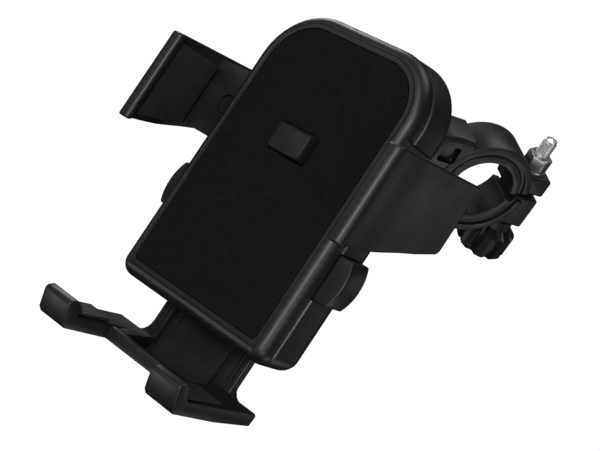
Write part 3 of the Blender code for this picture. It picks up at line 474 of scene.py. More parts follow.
def shell_zone(start, end):
    """Part of a spherical shell about the ball; angles from the head frame's +Y."""
    steps = math.ceil((end - start) / 4.0)
    profile = []
    for i in range(steps + 1):
        angle = math.radians(start + (end - start) * i / steps)
        profile.append((SHELL_OUT * math.sin(angle), SHELL_OUT * math.cos(angle)))
    for i in range(steps + 1):
        angle = math.radians(end + (start - end) * i / steps)
        profile.append((SHELL_IN * math.sin(angle), SHELL_IN * math.cos(angle)))
    if end > 179.0:
        profile[steps] = (0.0, -SHELL_OUT)
        profile[steps + 1] = (0.0, -SHELL_IN)
    return turned(profile, "Y", BALL_CENTRE, 32)


def socket_ring_nut():
    """The ribbed ring nut that closes the socket over the ball."""
    mouth = math.radians(MOUTH_DEG)
    rim = (SEAT_R * math.sin(mouth), SEAT_R * math.cos(mouth))
    profile = [(STUB_R + 0.3, -7.2), (14.0, -7.2), (14.6, -6.4), (14.6, 3.0), (13.4, 4.6),
               (10.4, rim[1] + 0.7), rim]
    for i in range(1, 9):
        angle = mouth + (math.radians(88.0) - mouth) * i / 8
        profile.append((SEAT_R * math.sin(angle), SEAT_R * math.cos(angle)))
    profile.append((STUB_R + 0.3, -0.2))
    obj = turned(profile, "Y", BALL_CENTRE, 36)
    ribs = []
    for i in range(12):
        angle = 2.0 * math.pi * i / 12
        centre = (BALL_CENTRE.x + 14.9 * math.cos(angle), BALL_CENTRE.z + 14.9 * math.sin(angle))
        ribs.append(rod("Y", centre, 0.9, BALL_CENTRE.y - 9.0, BALL_CENTRE.y + 9.0, 6))
    return cut(obj, *ribs)


def socket_stub():
    """The threaded cup on the back of the cradle."""
    profile = [(0.0, 16.0), (13.0, 16.0), (13.0, 19.2), (STUB_R, 19.5), (STUB_R, 26.3)]
    start = math.acos((26.3 - BALL_CENTRE.y) / SEAT_R)
    for i in range(19):
        angle = start + (math.pi - start) * i / 18
        profile.append((SEAT_R * math.sin(angle), BALL_CENTRE.y + SEAT_R * math.cos(angle)))
    profile[-1] = (0.0, BALL_CENTRE.y - SEAT_R)
    return turned(profile, "Y", (BALL_CENTRE.x, 0.0, BALL_CENTRE.z), 32)


# ---------------------------------------------------------------- cradle head

def body_ring(depth, inset, steps=6):
    """The casing's outline at one depth."""
    return [at("Y", depth, point) for point in inset_rect(BODY_HALF, BODY_CORNERS, steps, inset)]


def cover_ring(depth, inset, steps=6):
    """The back cover's outline at one depth: its sides swell and its floor rises towards the back."""
    share = (depth - SEAM_Y) / (BACK_Y - SEAM_Y)
    swell = SIDE_SWELL * math.sin(min(1.0, 1.5 * share) * math.pi / 2.0)
    top, floor = TOP_RISE * share, FLOOR_RISE * share
    half = (BODY_HALF[0] + swell, BODY_HALF[1] + (top - floor) / 2.0)
    ring = inset_rect(half, BODY_CORNERS, steps, inset, (0.0, (top + floor) / 2.0))
    return [at("Y", depth, point) for point in ring]


def arm_slots(y_range):
    """Cutters for the openings in both side walls that the arms' plates slide through."""
    height = (MECH_Z - PLATE_HALF_Z - GAP, MECH_Z + PLATE_HALF_Z + GAP)
    return [box(sorted((side * 30.0, side * 40.0)), y_range, height) for side in (-1.0, 1.0)]


def rounded_edge(face, side, inset):
    """(depth, inset) pairs of a quarter-round edge, from the flat face to the upright side."""
    pairs = []
    for i in range(EDGE_STEPS + 1):
        angle = math.pi / 2.0 * i / EDGE_STEPS
        pairs.append((face + (side - face) * (1.0 - math.cos(angle)), inset * (1.0 - math.sin(angle))))
    return pairs


def face_pad():
    """The soft pad that the phone lies on."""
    obj = prism(rounded_rect(PAD_HALF, PAD_CORNERS, 6), "Y", 0.0, PAD_T)
    hole = prism(rounded_rect((8.6, 5.35), (1.2, 1.2), 2, (0.0, TRIGGER_Z)), "Y", -1.0, 3.0)
    return cut(obj, hole)


def arm_recesses(y_range):
    """Cutters for the shallow side recesses that the jaws close into."""
    return [box(sorted((side * (BODY_HALF[0] - 1.0), side * 45.0)), y_range, (-5.0, 28.0))
            for side in (-1.0, 1.0)]


def front_shell():
    """The front frame: a raised rim round the pad's recess, and four screw posts behind."""
    rings = [(0.0, 3.9), (0.35, 3.75)] + rounded_edge(0.15, 4.4, 3.55)
    rings += [(SEAM_Y - 0.4, 0.0), (SEAM_Y - 0.1, 0.3)]
    obj = loft([body_ring(depth, inset) for depth, inset in rings])
    skirt_bore = prism(inset_rect(BODY_HALF, BODY_CORNERS, 5, WALL), "Y", FRAME_BACK_Y, 8.0)
    cut(obj, skirt_bore, *arm_slots((FRAME_BACK_Y, 8.0)))
    posts = [rod("Y", place, 3.0, 3.0, REAR_WALL_Y - GAP, 16) for place in CASE_SCREWS]
    join(obj, *posts)
    cutters = [prism(rounded_rect((PAD_HALF[0] + GAP, PAD_HALF[1] + GAP), PAD_CORNERS, 6),
                     "Y", -2.0, PAD_T + GAP)]
    wider = (TRIGGER_HALF[0] + GAP, TRIGGER_HALF[1] + GAP)
    opening = rounded_rect(wider, (1.0, 1.0), 2, (0.0, TRIGGER_Z))
    cutters.append(prism(opening, "Y", -2.0, 6.0))
    cutters += [rod("Y", place, 1.2, 5.0, 20.0, 12) for place in CASE_SCREWS]
    cutters += arm_recesses((-2.0, 6.0))
    return cut(obj, *cutters)


def rear_shell():
    """The back cover: side walls, slots, foot channel, gear posts and the ball socket."""
    rings = [(SEAM_Y + 0.2, 0.4), (SEAM_Y + 0.6, 0.0)] + rounded_edge(BACK_Y, 12.6, 3.6)[::-1]
    obj = loft([cover_ring(depth, inset) for depth, inset in rings])
    room = (BODY_HALF[0], BODY_HALF[1] - FLOOR_RISE / 2.0)
    inner = inset_rect(room, BODY_CORNERS, 5, WALL, (0.0, FLOOR_RISE / 2.0))
    cut(obj, prism(inner, "Y", 0.0, REAR_WALL_Y))
    parts = [box((-24.4, 24.4), (12.3, 15.0), (-49.2, CHANNEL_TOP_Z + 2.0))]
    parts += [box(sorted((side * 24.0, side * 25.4)), (4.4, 15.0), (-25.0, -14.0))
              for side in (-1.0, 1.0)]
    parts += [rod("Y", (side * 11.5, MECH_Z), 1.6, GEAR_Y[0] + 0.2, 15.0, 12) for side in (-1.0, 1.0)]
    parts.append(rod("Y", (0.0, MECH_Z), 3.2, GEAR_Y[1] + 0.3, 15.0, 16))
    parts.append(socket_stub())
    join(obj, *parts)
    channel = (-SLIDER_HALF - GAP, SLIDER_HALF + GAP)
    cutters = [box(channel, (SLIDER_Y[0] - GAP, 20.0), (-60.0, CHANNEL_TOP_Z))]
    cutters.append(box((-4.4, 4.4), (13.1, 15.0), (-34.4, -19.6)))
    cutters.append(rod("Y", (0.0, MECH_Z), 1.6, 8.0, 14.6, 16))
    cutters += arm_slots((0.0, PLATE_Y[1] + GAP))
    for side in (-1.0, 1.0):
        outline = [(side * 30.0, -8.2), (side * 40.0, -8.2), (side * 40.0, 8.2), (side * 30.0, 8.2)]
        cutters.append(rising_prism(outline, -GAP, GAP))
    for place in CASE_SCREWS:
        cutters.append(rod("Y", place, 1.5, 10.0, 20.0, 12))
        cutters.append(rod("Y", place, 2.9, 15.3, 20.0, 16))
    cutters += arm_recesses((0.0, 30.0))
    return cut(obj, *cutters)


def case_screw(place):
    """A pan-head screw with a cross-slot, seen from the back."""
    profile = [(0.0, 6.2), (1.1, 6.2), (1.1, 15.4), (2.6, 15.4), (2.6, 16.2), (1.9, 16.8), (0.0, 16.8)]
    obj = turned(profile, "Y", (place[0], 0.0, place[1]), 16)
    slot = [box((place[0] - 1.5, place[0] + 1.5), (16.2, 18.0), (place[1] - 0.3, place[1] + 0.3)),
            box((place[0] - 0.3, place[0] + 0.3), (16.2, 18.0), (place[1] - 1.5, place[1] + 1.5))]
    return cut(obj, *slot)


def channel_cover():
    """The plate that closes the foot's channel at the back."""
    sections = []
    for depth, inset in ((BACK_Y + 0.15, 0.0), (BACK_Y + 1.0, 0.0), (BACK_Y + 1.6, 0.8)):
        ring = inset_rect((27.0, 21.0), (3.0, 3.0), 3, inset, (0.0, -25.0))
        sections.append([at("Y", depth, point) for point in ring])
    return loft(sections)


def trigger_button():
    """The raised key in the middle of the pad, with its stop flange."""
    rings = []
    for depth, inset in ((-2.8, 0.9), (-2.5, 0.3), (-1.9, 0.0), (4.2, 0.0)):
        outline = inset_rect(TRIGGER_HALF, (1.6, 1.6), 3, inset, (0.0, TRIGGER_Z))
        rings.append([at("Y", depth, point) for point in outline])
    flange = box((-8.7, 8.7), (FRAME_BACK_Y + 0.4, 5.0), (TRIGGER_Z - 5.2, TRIGGER_Z + 5.2))
    return join(loft(rings), flange)


def rack_outline(start, end):
    """Rack teeth along X facing down, a tooth space at X = 0, in (x, z)."""
    pitch = math.pi * MODULE
    half = pitch / 4.0 - BACKLASH / 4.0
    tip_half = half - ADDENDUM * math.tan(PRESSURE)
    root_half = half + DEDENDUM * math.tan(PRESSURE)
    line = MECH_Z + PITCH_R
    back = line + DEDENDUM
    points = [(end, back + 0.4), (start, back + 0.4)]
    first = math.ceil((start + root_half) / pitch - 0.5)
    last = math.floor((end - root_half) / pitch - 0.5)
    for tooth in range(first, last + 1):
        middle = (tooth + 0.5) * pitch
        points += [(middle - root_half, back), (middle - tip_half, line - ADDENDUM),
                   (middle + tip_half, line - ADDENDUM), (middle + root_half, back)]
    return points


def between(points, y):
    """A value read from a line through (y, value) points."""
    for (y_low, low), (y_high, high) in zip(points, points[1:]):
        if y <= y_high:
            return low + (high - low) * (y - y_low) / (y_high - y_low)
    return points[-1][1]


def jaw_section(y, x_inner, x_outer, trim):
    """The jaw's cross-section at one depth, its top and foot trimmed by the end's roundness."""
    low = between(JAW_FOOT, y) + trim
    high = between(JAW_TOP, y) - trim
    half = ((x_inner - x_outer) / 2.0, (high - low) / 2.0)
    radius = min(JAW_EDGE, half[0] * 0.9)
    centre = ((x_inner + x_outer) / 2.0, (high + low) / 2.0)
    return [at("Y", y, point) for point in rounded_rect(half, (radius, radius), 2, centre)]


def corner_round(y):
    """How far the jaw's outside is rounded in near its front end."""
    reach = CORNER_R - min(y - LIP_Y[0], CORNER_R)
    return CORNER_R - math.sqrt(CORNER_R ** 2 - reach ** 2)


def jaw():
    """The left jaw wall: rolled lip in front, a hollow behind it outside, round at the rear end."""
    sections = []
    for i in range(JAW_STEPS + 1):
        angle = math.pi / 2.0 * i / JAW_STEPS
        shrink = LIP_R * (1.0 - math.sin(angle))
        y = LIP_Y[0] + LIP_R * (1.0 - math.cos(angle))
        sections.append(jaw_section(y, LIP_X - shrink, -ARM_OUTER + corner_round(y), 0.5 * shrink))
    for i in range(1, JAW_STEPS + 1):
        angle = math.pi / 2.0 * i / JAW_STEPS
        drop = LIP_R * (1.0 - math.cos(angle))
        y = LIP_Y[1] - LIP_R * (1.0 - math.sin(angle))
        outer = -ARM_OUTER + corner_round(y) + 0.4 * HOLLOW_DEPTH * (1.0 - math.cos(angle))
        sections.append(jaw_section(y, LIP_X - drop, outer, 0.0))
    for i in range(2 * JAW_STEPS + 1):
        share = i / (2.0 * JAW_STEPS)
        y = LIP_Y[1] + 0.15 + (HOLLOW_END_Y - LIP_Y[1]) * share
        outer = -ARM_OUTER + HOLLOW_DEPTH * (0.4 + 0.6 * math.sin(math.pi * share)) * (1.0 - share)
        sections.append(jaw_section(y, -ARM_INNER, outer, 0.0))
    for y in (0.0, 5.0, 12.0, JAW_REAR_Y - REAR_R):
        sections.append(jaw_section(y, -ARM_INNER, -ARM_OUTER, 0.0))
    for i in range(1, JAW_STEPS + 1):
        angle = math.pi / 2.0 * i / JAW_STEPS
        shrink = 1.0 - math.cos(angle)
        thin = REAR_TAPER * shrink
        y = JAW_REAR_Y - REAR_R * (1.0 - math.sin(angle))
        sections.append(jaw_section(y, -ARM_INNER - thin, -ARM_OUTER + thin, REAR_R * shrink))
    return loft(sections)


def jaw_and_plate():
    """The left arm's outside: jaw wall with a rolled lip, sliding plate and its round boss."""
    wall = jaw()
    plate = box((-ARM_INNER - 1.0, -33.4), PLATE_Y, (MECH_Z - PLATE_HALF_Z, MECH_Z + PLATE_HALF_Z))
    gusset = prism([(-ARM_INNER - 0.5, PLATE_Y[0] + 0.2), (-ARM_INNER + 1.3, PLATE_Y[1] - 0.3),
                    (-ARM_INNER - 0.5, PLATE_Y[1] + 2.6)], "Z", 1.0, 22.4)
    boss = rod("Y", BOSS_XZ, 4.3, PLATE_Y[0] - 0.2, PLATE_Y[1] - 0.5, 24)
    join(wall, plate, gusset, boss)
    return cut(wall, rod("Y", BOSS_XZ, 3.5, 0.0, PLATE_Y[0] + 0.8, 24))


def rack_bar():
    """The left arm's inside: a bar above the pinion with its rack teeth and spring lug."""
    low_band = MECH_Z + PITCH_R + DEDENDUM
    high_band = MECH_Z + PLATE_HALF_Z
    bar = box((-33.8, -2.0), (PLATE_Y[0], GEAR_Y[1]), (low_band, high_band))
    nose = box((-3.0, 4.0), (PLATE_Y[1] + 0.4, GEAR_Y[1]), (low_band, high_band))
    lug = box((1.6, 4.0), (7.6, GEAR_Y[1]), (high_band - 0.5, high_band + 4.2))
    teeth = prism(rack_outline(-17.7, 4.0), "Y", GEAR_Y[0] - 0.5, GEAR_Y[1])
    return join(bar, nose, lug, teeth)


def half_turn(obj):
    """Turn a rack into its partner: half a turn about the pinion's axis."""
    move = Matrix.Translation((0.0, 0.0, MECH_Z))
    obj.data.transform(move @ Matrix.Rotation(math.pi, 4, "Y") @ move.inverted())
    return obj


def left_arm():
    """The left arm with its rack."""
    return join(jaw_and_plate(), rack_bar())


def right_arm():
    """The right arm: the left one's outside mirrored, its rack turned below the pinion."""
    outside = jaw_and_plate()
    other = mirrored(outside)
    bpy.data.objects.remove(outside, do_unlink=True)
    return join(other, half_turn(rack_bar()))


def jaw_pad():
    """The rubber sheet on the left jaw's inner face."""
    outline = [(-15.8, -8.2), (-12.0, -7.0), (-4.0, -4.4), (2.6, -1.4), (2.6, 21.0), (-15.8, 19.4)]
    return prism(outline, "X", -ARM_INNER + GAP, -ARM_INNER + 1.5, soft=0.3)


def rising_prism(outline, front_gap=0.0, back_gap=0.0):
    """A button-deep extrusion of an outline about the button's middle, rising towards the back."""
    sections = []
    for depth, rise in ((BUTTON_Y[0] + front_gap, 0.0), (BUTTON_Y[1] + back_gap, BUTTON_RISE)):
        sections.append([(x, depth, BUTTON_Z + rise + z) for x, z in outline])
    return loft(sections)


def release_button():
    """The left release button: a crescent key with a flange behind the side wall."""
    face = [(-31.6, 7.9)] + arc((-27.4, 0.0), 16.2, 151.0, 209.0, 10) + [(-31.6, -7.9)]
    key = rising_prism(face)
    soften(key, 0.5)
    flange = box((-33.7, -31.4), (4.5, 13.9), (BUTTON_Z - 9.6, BUTTON_Z + 9.9))
    return join(key, flange)


def shelf_top(y):
    """Height of the foot shelf's upper surface at a depth."""
    return SHELF_TOP_REAR_Z - SHELF_SLOPE * (SHELF_REAR_Y - y)


def wing(x_range):
    """One side of the foot shelf, with its upturned hook, drawn from the side in (y, z)."""
    outline = [(SHELF_REAR_Y, -69.3), (SHELF_REAR_Y + 0.3, -65.6), (SHELF_REAR_Y - 0.6, shelf_top(14.0)),
               (-13.9, shelf_top(-13.9)), (-14.7, -71.0), (-16.4, -67.4), (-18.2, -66.9),
               (-20.2, -68.2), (-20.6, -69.3), (-18.4, -75.4), (-16.8, -76.7), (0.2, -73.2)]
    return prism(outline, "X", x_range[0], x_range[1], soft=0.6)


def foot_slider():
    """The sliding foot: ribbed slider, sloping shelf, front rim and two hooks."""
    low, high = SLIDER_Y
    slider = box((-SLIDER_HALF, SLIDER_HALF), (low, high), (-68.0, -15.0), soft=0.4)
    body = prism([(SHELF_REAR_Y + 2.3, -69.0), (SHELF_REAR_Y + 2.3, -64.4), (13.0, -64.9), (2.6, -68.2),
                  (0.2, -68.5), (0.0, -73.1)], "X", -SLIDER_HALF - 1.0, SLIDER_HALF + 1.0, soft=0.5)
    wings = [wing(sorted((side * (HOOK_X[0] - 0.3), side * HOOK_X[1]))) for side in (-1.0, 1.0)]
    fillets = []
    for side in (-1.0, 1.0):
        corner = (side * (SLIDER_HALF + 5.0), -60.4)
        curve = arc(corner, 5.0, 180.0 if side > 0 else 360.0, 270.0, 5)
        outline = curve + [(side * (SLIDER_HALF + 5.0), -66.5), (side * (SLIDER_HALF - 1.0), -66.5),
                           (side * (SLIDER_HALF - 1.0), -60.4)]
        fillets.append(prism(outline, "Y", low + 0.2, SHELF_REAR_Y + 1.4))
    join(slider, body, *wings, *fillets)
    pocket = prism([(SHELF_REAR_Y - 0.6, -62.6), (SHELF_REAR_Y - 0.6, -67.2), (12.6, -69.4), (3.4, -71.2),
                    (2.2, -70.4), (2.2, -62.0)], "X", -16.6, 16.6)
    slots = []
    for side in (-1.0, 1.0):
        slots.append(box(sorted((side * 12.8, side * 16.6)), (low - 1.0, low + 1.5), (-66.6, -17.0)))
        slots.append(box(sorted((side * 18.2, side * 18.7)), (low - 1.0, low + 0.35), (-62.0, -17.0)))
        slots.append(box(sorted((side * 19.8, side * 20.3)), (low - 1.0, low + 0.35), (-62.0, -17.0)))
    for i in range(RIB_COUNT):
        middle = -61.4 + RIB_PITCH * i
        slots.append(box((-12.2, 12.2), (low - 1.0, low + 0.6), (middle - 0.45, middle + 0.45)))
    return cut(slider, pocket, *slots)


def foot_pad():
    """The rubber corner pad of the right hook, an L seen from the side."""
    lift = GAP
    thick = 1.3
    outline = [(-0.8, shelf_top(-0.8) + lift), (-0.8, shelf_top(-0.8) + thick),
               (-12.6, shelf_top(-12.6) + thick), (-14.9, -67.6), (-15.9, -67.9),
               (-14.0, shelf_top(-14.0) + lift + 0.3), (-13.2, shelf_top(-13.2) + lift)]
    return prism(outline, "X", HOOK_X[0] + 1.0, HOOK_X[1] - 1.2)


# ---------------------------------------------------------------- finishes

def new_material(name):
    """An empty node material with its Principled shader and object coordinates."""
    material = bpy.data.materials.new(name)
    material.use_nodes = True
    tree = material.node_tree
    shader = tree.nodes["Principled BSDF"]
    place = tree.nodes.new("ShaderNodeTexCoord")
    return material, tree, shader, place.outputs["Object"]


def noise(tree, place, scale, detail=4.0, roughness=0.55):
    """A noise texture's value at object coordinates."""
    node = tree.nodes.new("ShaderNodeTexNoise")
    node.inputs["Scale"].default_value = scale
    node.inputs["Detail"].default_value = detail
    node.inputs["Roughness"].default_value = roughness
    tree.links.new(place, node.inputs["Vector"])
    return node.outputs["Fac"]


def cells(tree, place, scale):
    """A Voronoi texture's distance at object coordinates."""
    node = tree.nodes.new("ShaderNodeTexVoronoi")
    node.inputs["Scale"].default_value = scale
    tree.links.new(place, node.inputs["Vector"])
    return node.outputs["Distance"]


def spread(tree, value, low, high, start=0.3, end=0.7):
    """Map a texture value to a range."""
    node = tree.nodes.new("ShaderNodeMapRange")
    node.inputs["From Min"].default_value = start
    node.inputs["From Max"].default_value = end
    node.inputs["To Min"].default_value = low
    node.inputs["To Max"].default_value = high
    tree.links.new(value, node.inputs["Value"])
    return node.outputs["Result"]


def tint(tree, value, dark, light, start=0.3, end=0.7):
    """A colour ramp between two colours."""
    node = tree.nodes.new("ShaderNodeValToRGB")
    node.color_ramp.elements[0].position = start
    node.color_ramp.elements[0].color = (*dark, 1.0)
    node.color_ramp.elements[1].position = end
    node.color_ramp.elements[1].color = (*light, 1.0)
    tree.links.new(value, node.inputs["Fac"])
    return node.outputs["Color"]


def bumped(tree, shader, height, strength, distance):
    """Feed a height into the shader's normal, on top of any bump already there."""
    node = tree.nodes.new("ShaderNodeBump")
    node.inputs["Strength"].default_value = strength
    node.inputs["Distance"].default_value = distance
    tree.links.new(height, node.inputs["Height"])
    links = shader.inputs["Normal"].links
    if links:
        tree.links.new(links[0].from_socket, node.inputs["Normal"])
    tree.links.new(node.outputs["Normal"], shader.inputs["Normal"])


def edge_highlight(tree, colour, highlight, amount):
    """Mix a paler colour in along convex edges: a painted highlight."""
    geometry = tree.nodes.new("ShaderNodeNewGeometry")
    share = spread(tree, geometry.outputs["Pointiness"], 0.0, amount, 0.52, 0.60)
    mix = tree.nodes.new("ShaderNodeMix")
    mix.data_type = "RGBA"
    tree.links.new(share, mix.inputs["Factor"])
    tree.links.new(colour, mix.inputs["A"])
    mix.inputs["B"].default_value = (*highlight, 1.0)
    return mix.outputs["Result"]


def moulded_plastic(name, dark, light, rough, sheen):
    """Satin plastic with a fine spark-eroded grain, a patchy gloss, and a painted highlight: a paler
    colour along its convex edges.
    """
    material, tree, shader, place = new_material(name)
    cloud = noise(tree, place, 60.0)
    # painted highlight: twice the light colour mixed in along convex edges
    colour = edge_highlight(tree, tint(tree, cloud, dark, light), [2.0 * c for c in light], 0.5)
    tree.links.new(colour, shader.inputs["Base Color"])
    polish = spread(tree, noise(tree, place, 140.0), rough - 0.05, rough + 0.06)
    tree.links.new(polish, shader.inputs["Roughness"])
    bumped(tree, shader, noise(tree, place, 4200.0, 2.0), 0.22, 0.00005)
    bumped(tree, shader, cells(tree, place, 2600.0), 0.12, 0.00005)
    shader.inputs["Specular IOR Level"].default_value = sheen
    return material


def foam_pad():
    """The near-black grainy pad, speckled like pressed foam rubber."""
    material, tree, shader, place = new_material("pad_grain")
    cloud = noise(tree, place, 900.0, 6.0, 0.7)
    colour = tint(tree, cloud, (0.0036, 0.0034, 0.0033), (0.0092, 0.0088, 0.0084))
    tree.links.new(colour, shader.inputs["Base Color"])
    tree.links.new(spread(tree, noise(tree, place, 300.0), 0.82, 0.97), shader.inputs["Roughness"])
    bumped(tree, shader, noise(tree, place, 2600.0, 5.0, 0.7), 0.6, 0.00012)
    bumped(tree, shader, cells(tree, place, 1500.0), 0.35, 0.0001)
    shader.inputs["Specular IOR Level"].default_value = 0.12
    return material


def soft_rubber():
    """Matt rubber for liners, jaw pads and foot pads."""
    material, tree, shader, place = new_material("soft_rubber")
    cloud = noise(tree, place, 220.0)
    colour = tint(tree, cloud, (0.007, 0.007, 0.007), (0.013, 0.013, 0.0135))
    tree.links.new(colour, shader.inputs["Base Color"])
    tree.links.new(spread(tree, noise(tree, place, 500.0), 0.62, 0.8), shader.inputs["Roughness"])
    bumped(tree, shader, noise(tree, place, 3000.0, 3.0), 0.3, 0.00006)
    return material


def bright_zinc(name, rough, metallic, dark, light):
    """Zinc-plated steel with faint drawn scratches and a cool bloom."""
    material, tree, shader, place = new_material(name)
    cloud = noise(tree, place, 700.0)
    tree.links.new(tint(tree, cloud, dark, light), shader.inputs["Base Color"])
    polish = spread(tree, noise(tree, place, 1500.0), rough - 0.06, rough + 0.1)
    tree.links.new(polish, shader.inputs["Roughness"])
    bumped(tree, shader, noise(tree, place, 2500.0), 0.12, 0.00002)
    shader.inputs["Metallic"].default_value = metallic
    return material


def natural_nylon():
    """Milky nylon for the gear and the ball joint's shells."""
    material, tree, shader, place = new_material("natural_nylon")
    cloud = noise(tree, place, 150.0)
    tree.links.new(tint(tree, cloud, (0.66, 0.64, 0.58), (0.78, 0.77, 0.72)), shader.inputs["Base Color"])
    tree.links.new(spread(tree, noise(tree, place, 400.0), 0.4, 0.55), shader.inputs["Roughness"])
    bumped(tree, shader, noise(tree, place, 2000.0), 0.1, 0.00004)
    return material


SATIN = moulded_plastic("satin_black", (0.0065, 0.0065, 0.0065), (0.011, 0.011, 0.011), 0.40, 0.5)
KEY_PLASTIC = moulded_plastic("satin_charcoal", (0.0060, 0.0058, 0.0056), (0.0095, 0.0093, 0.0090),
                              0.55, 0.3)
PAD = foam_pad()
RUBBER = soft_rubber()
LINER = moulded_plastic("sleeve_rubber", (0.009, 0.009, 0.009), (0.014, 0.014, 0.014),
                        0.42, 0.5)
ZINC = bright_zinc("bright_zinc", 0.34, 1.0, (0.40, 0.41, 0.43), (0.58, 0.58, 0.57))
THREAD = bright_zinc("rolled_thread", 0.28, 0.7, (0.74, 0.75, 0.78), (0.92, 0.92, 0.92))
WIRE = bright_zinc("drawn_wire", 0.32, 0.9, (0.50, 0.51, 0.53), (0.72, 0.72, 0.71))
NYLON = natural_nylon()


# ---------------------------------------------------------------- pieces on their bodies

SHARP_DEG = 32.0
SCREW_END = -23.2
THREAD_PITCH = 0.8
THREAD_DEPTH = 0.5
THREAD_START = 0.2
THREAD_STEPS = 24
THREAD_FADE = 30.0


def show(obj, node, body, coords, material):
    """Scale a fine piece to metres, give it its finish and let it stand for its node."""
    obj.data.transform(coords)
    obj.name = node + "_fine"
    obj.data.name = obj.name
    obj.data.materials.clear()
    obj.data.materials.append(material)
    obj.data.shade_smooth()
    obj.data.set_sharp_from_angle(angle=math.radians(SHARP_DEG))
    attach(obj, body)
    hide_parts(node)
    return obj


def thread_rows():
    """Rings of points along the rolled thread, fading into the core at the tip."""
    core = SCREW_R - THREAD_DEPTH
    profile = ((0.0, SCREW_R), (0.12, SCREW_R), (0.42, core), (0.5, core))
    turns = int((SCREW_TIP - SCREW_END) / THREAD_PITCH) - 1
    total = turns * THREAD_STEPS
    rows = []
    for i in range(total + 1):
        angle = 2.0 * math.pi * i / THREAD_STEPS
        y = SCREW_END + THREAD_START + THREAD_PITCH * i / THREAD_STEPS
        fade = min(1.0, (total - i) / THREAD_FADE)
        row = []
        for offset, radius in profile:
            reach = core + (radius - core) * fade
            side = SCREW_Z + reach * math.sin(angle)
            row.append((reach * math.cos(angle), y + offset, side))
        rows.append(row)
    return rows


def threaded_screw():
    """The M5 screw with its rolled thread, from inside the knob to the tip."""
    bm = bmesh.new()
    rows = [[bm.verts.new(point) for point in row] for row in thread_rows()]
    total = len(rows) - 1
    for low, high in zip(rows, rows[1:]):
        for k in range(len(low) - 1):
            bm.faces.new((low[k], high[k], high[k + 1], low[k + 1]))
    for i in range(total - THREAD_STEPS):
        above = i + THREAD_STEPS
        bm.faces.new((rows[i][-1], rows[i + 1][-1], rows[above + 1][0], rows[above][0]))
    foot = bm.verts.new((0.0, SCREW_END, SCREW_Z))
    first_turn = [rows[i][0] for i in range(THREAD_STEPS + 1)]
    for first, second in zip(first_turn, first_turn[1:]):
        bm.faces.new((foot, second, first))
    tip = bm.verts.new((0.0, SCREW_TIP, SCREW_Z))
    last_turn = [rows[total - THREAD_STEPS + i][-1] for i in range(THREAD_STEPS + 1)]
    for first, second in zip(last_turn, last_turn[1:]):
        bm.faces.new((tip, first, second))
    bm.faces.new((foot, *rows[0], rows[THREAD_STEPS][0]))
    bm.faces.new((tip, *reversed(rows[total]), rows[total - THREAD_STEPS][-1]))
    bmesh.ops.triangulate(bm, faces=bm.faces)
    return make_object("screw", bm)


def build_springs():
    """The coil springs, each built at its rest length on the cradle head."""
    rise = PLATE_HALF_Z + 2.3
    upper, lower = (9.4, MECH_Z + rise), (9.4, MECH_Z - rise)
    centre, radius, wire, low, high, turns = BUTTON_SPRING
    left_key = ("X", centre, radius, wire, -high, -low, turns)
    right_key = ("X", centre, radius, wire, low, high, turns)
    rows = (
        ("trigger_spring", ("Y", (0.0, TRIGGER_Z), 3.2, 0.4, 5.3, 7.2, 3), "trigger_press", 7.4, 0.2),
        ("left_arm_spring", ("X", upper, 1.6, 0.45, -33.0, 1.2, 8), "left_arm_slide", -33.2, 0.54),
        ("right_arm_spring", ("X", lower, 1.6, 0.45, -1.2, 33.0, 8), "right_arm_slide", 33.2, 0.54),
        ("left_button_spring", left_key, "left_button_press", -25.8, 0.58),
        ("right_button_spring", right_key, "right_button_press", 25.8, 0.58),
    )
    for node, shape, joint, fixed_end, keep in rows:
        spring = show(coil(*shape), node, "cradle_head", HEAD_FRAME, WIRE)
        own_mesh(spring)


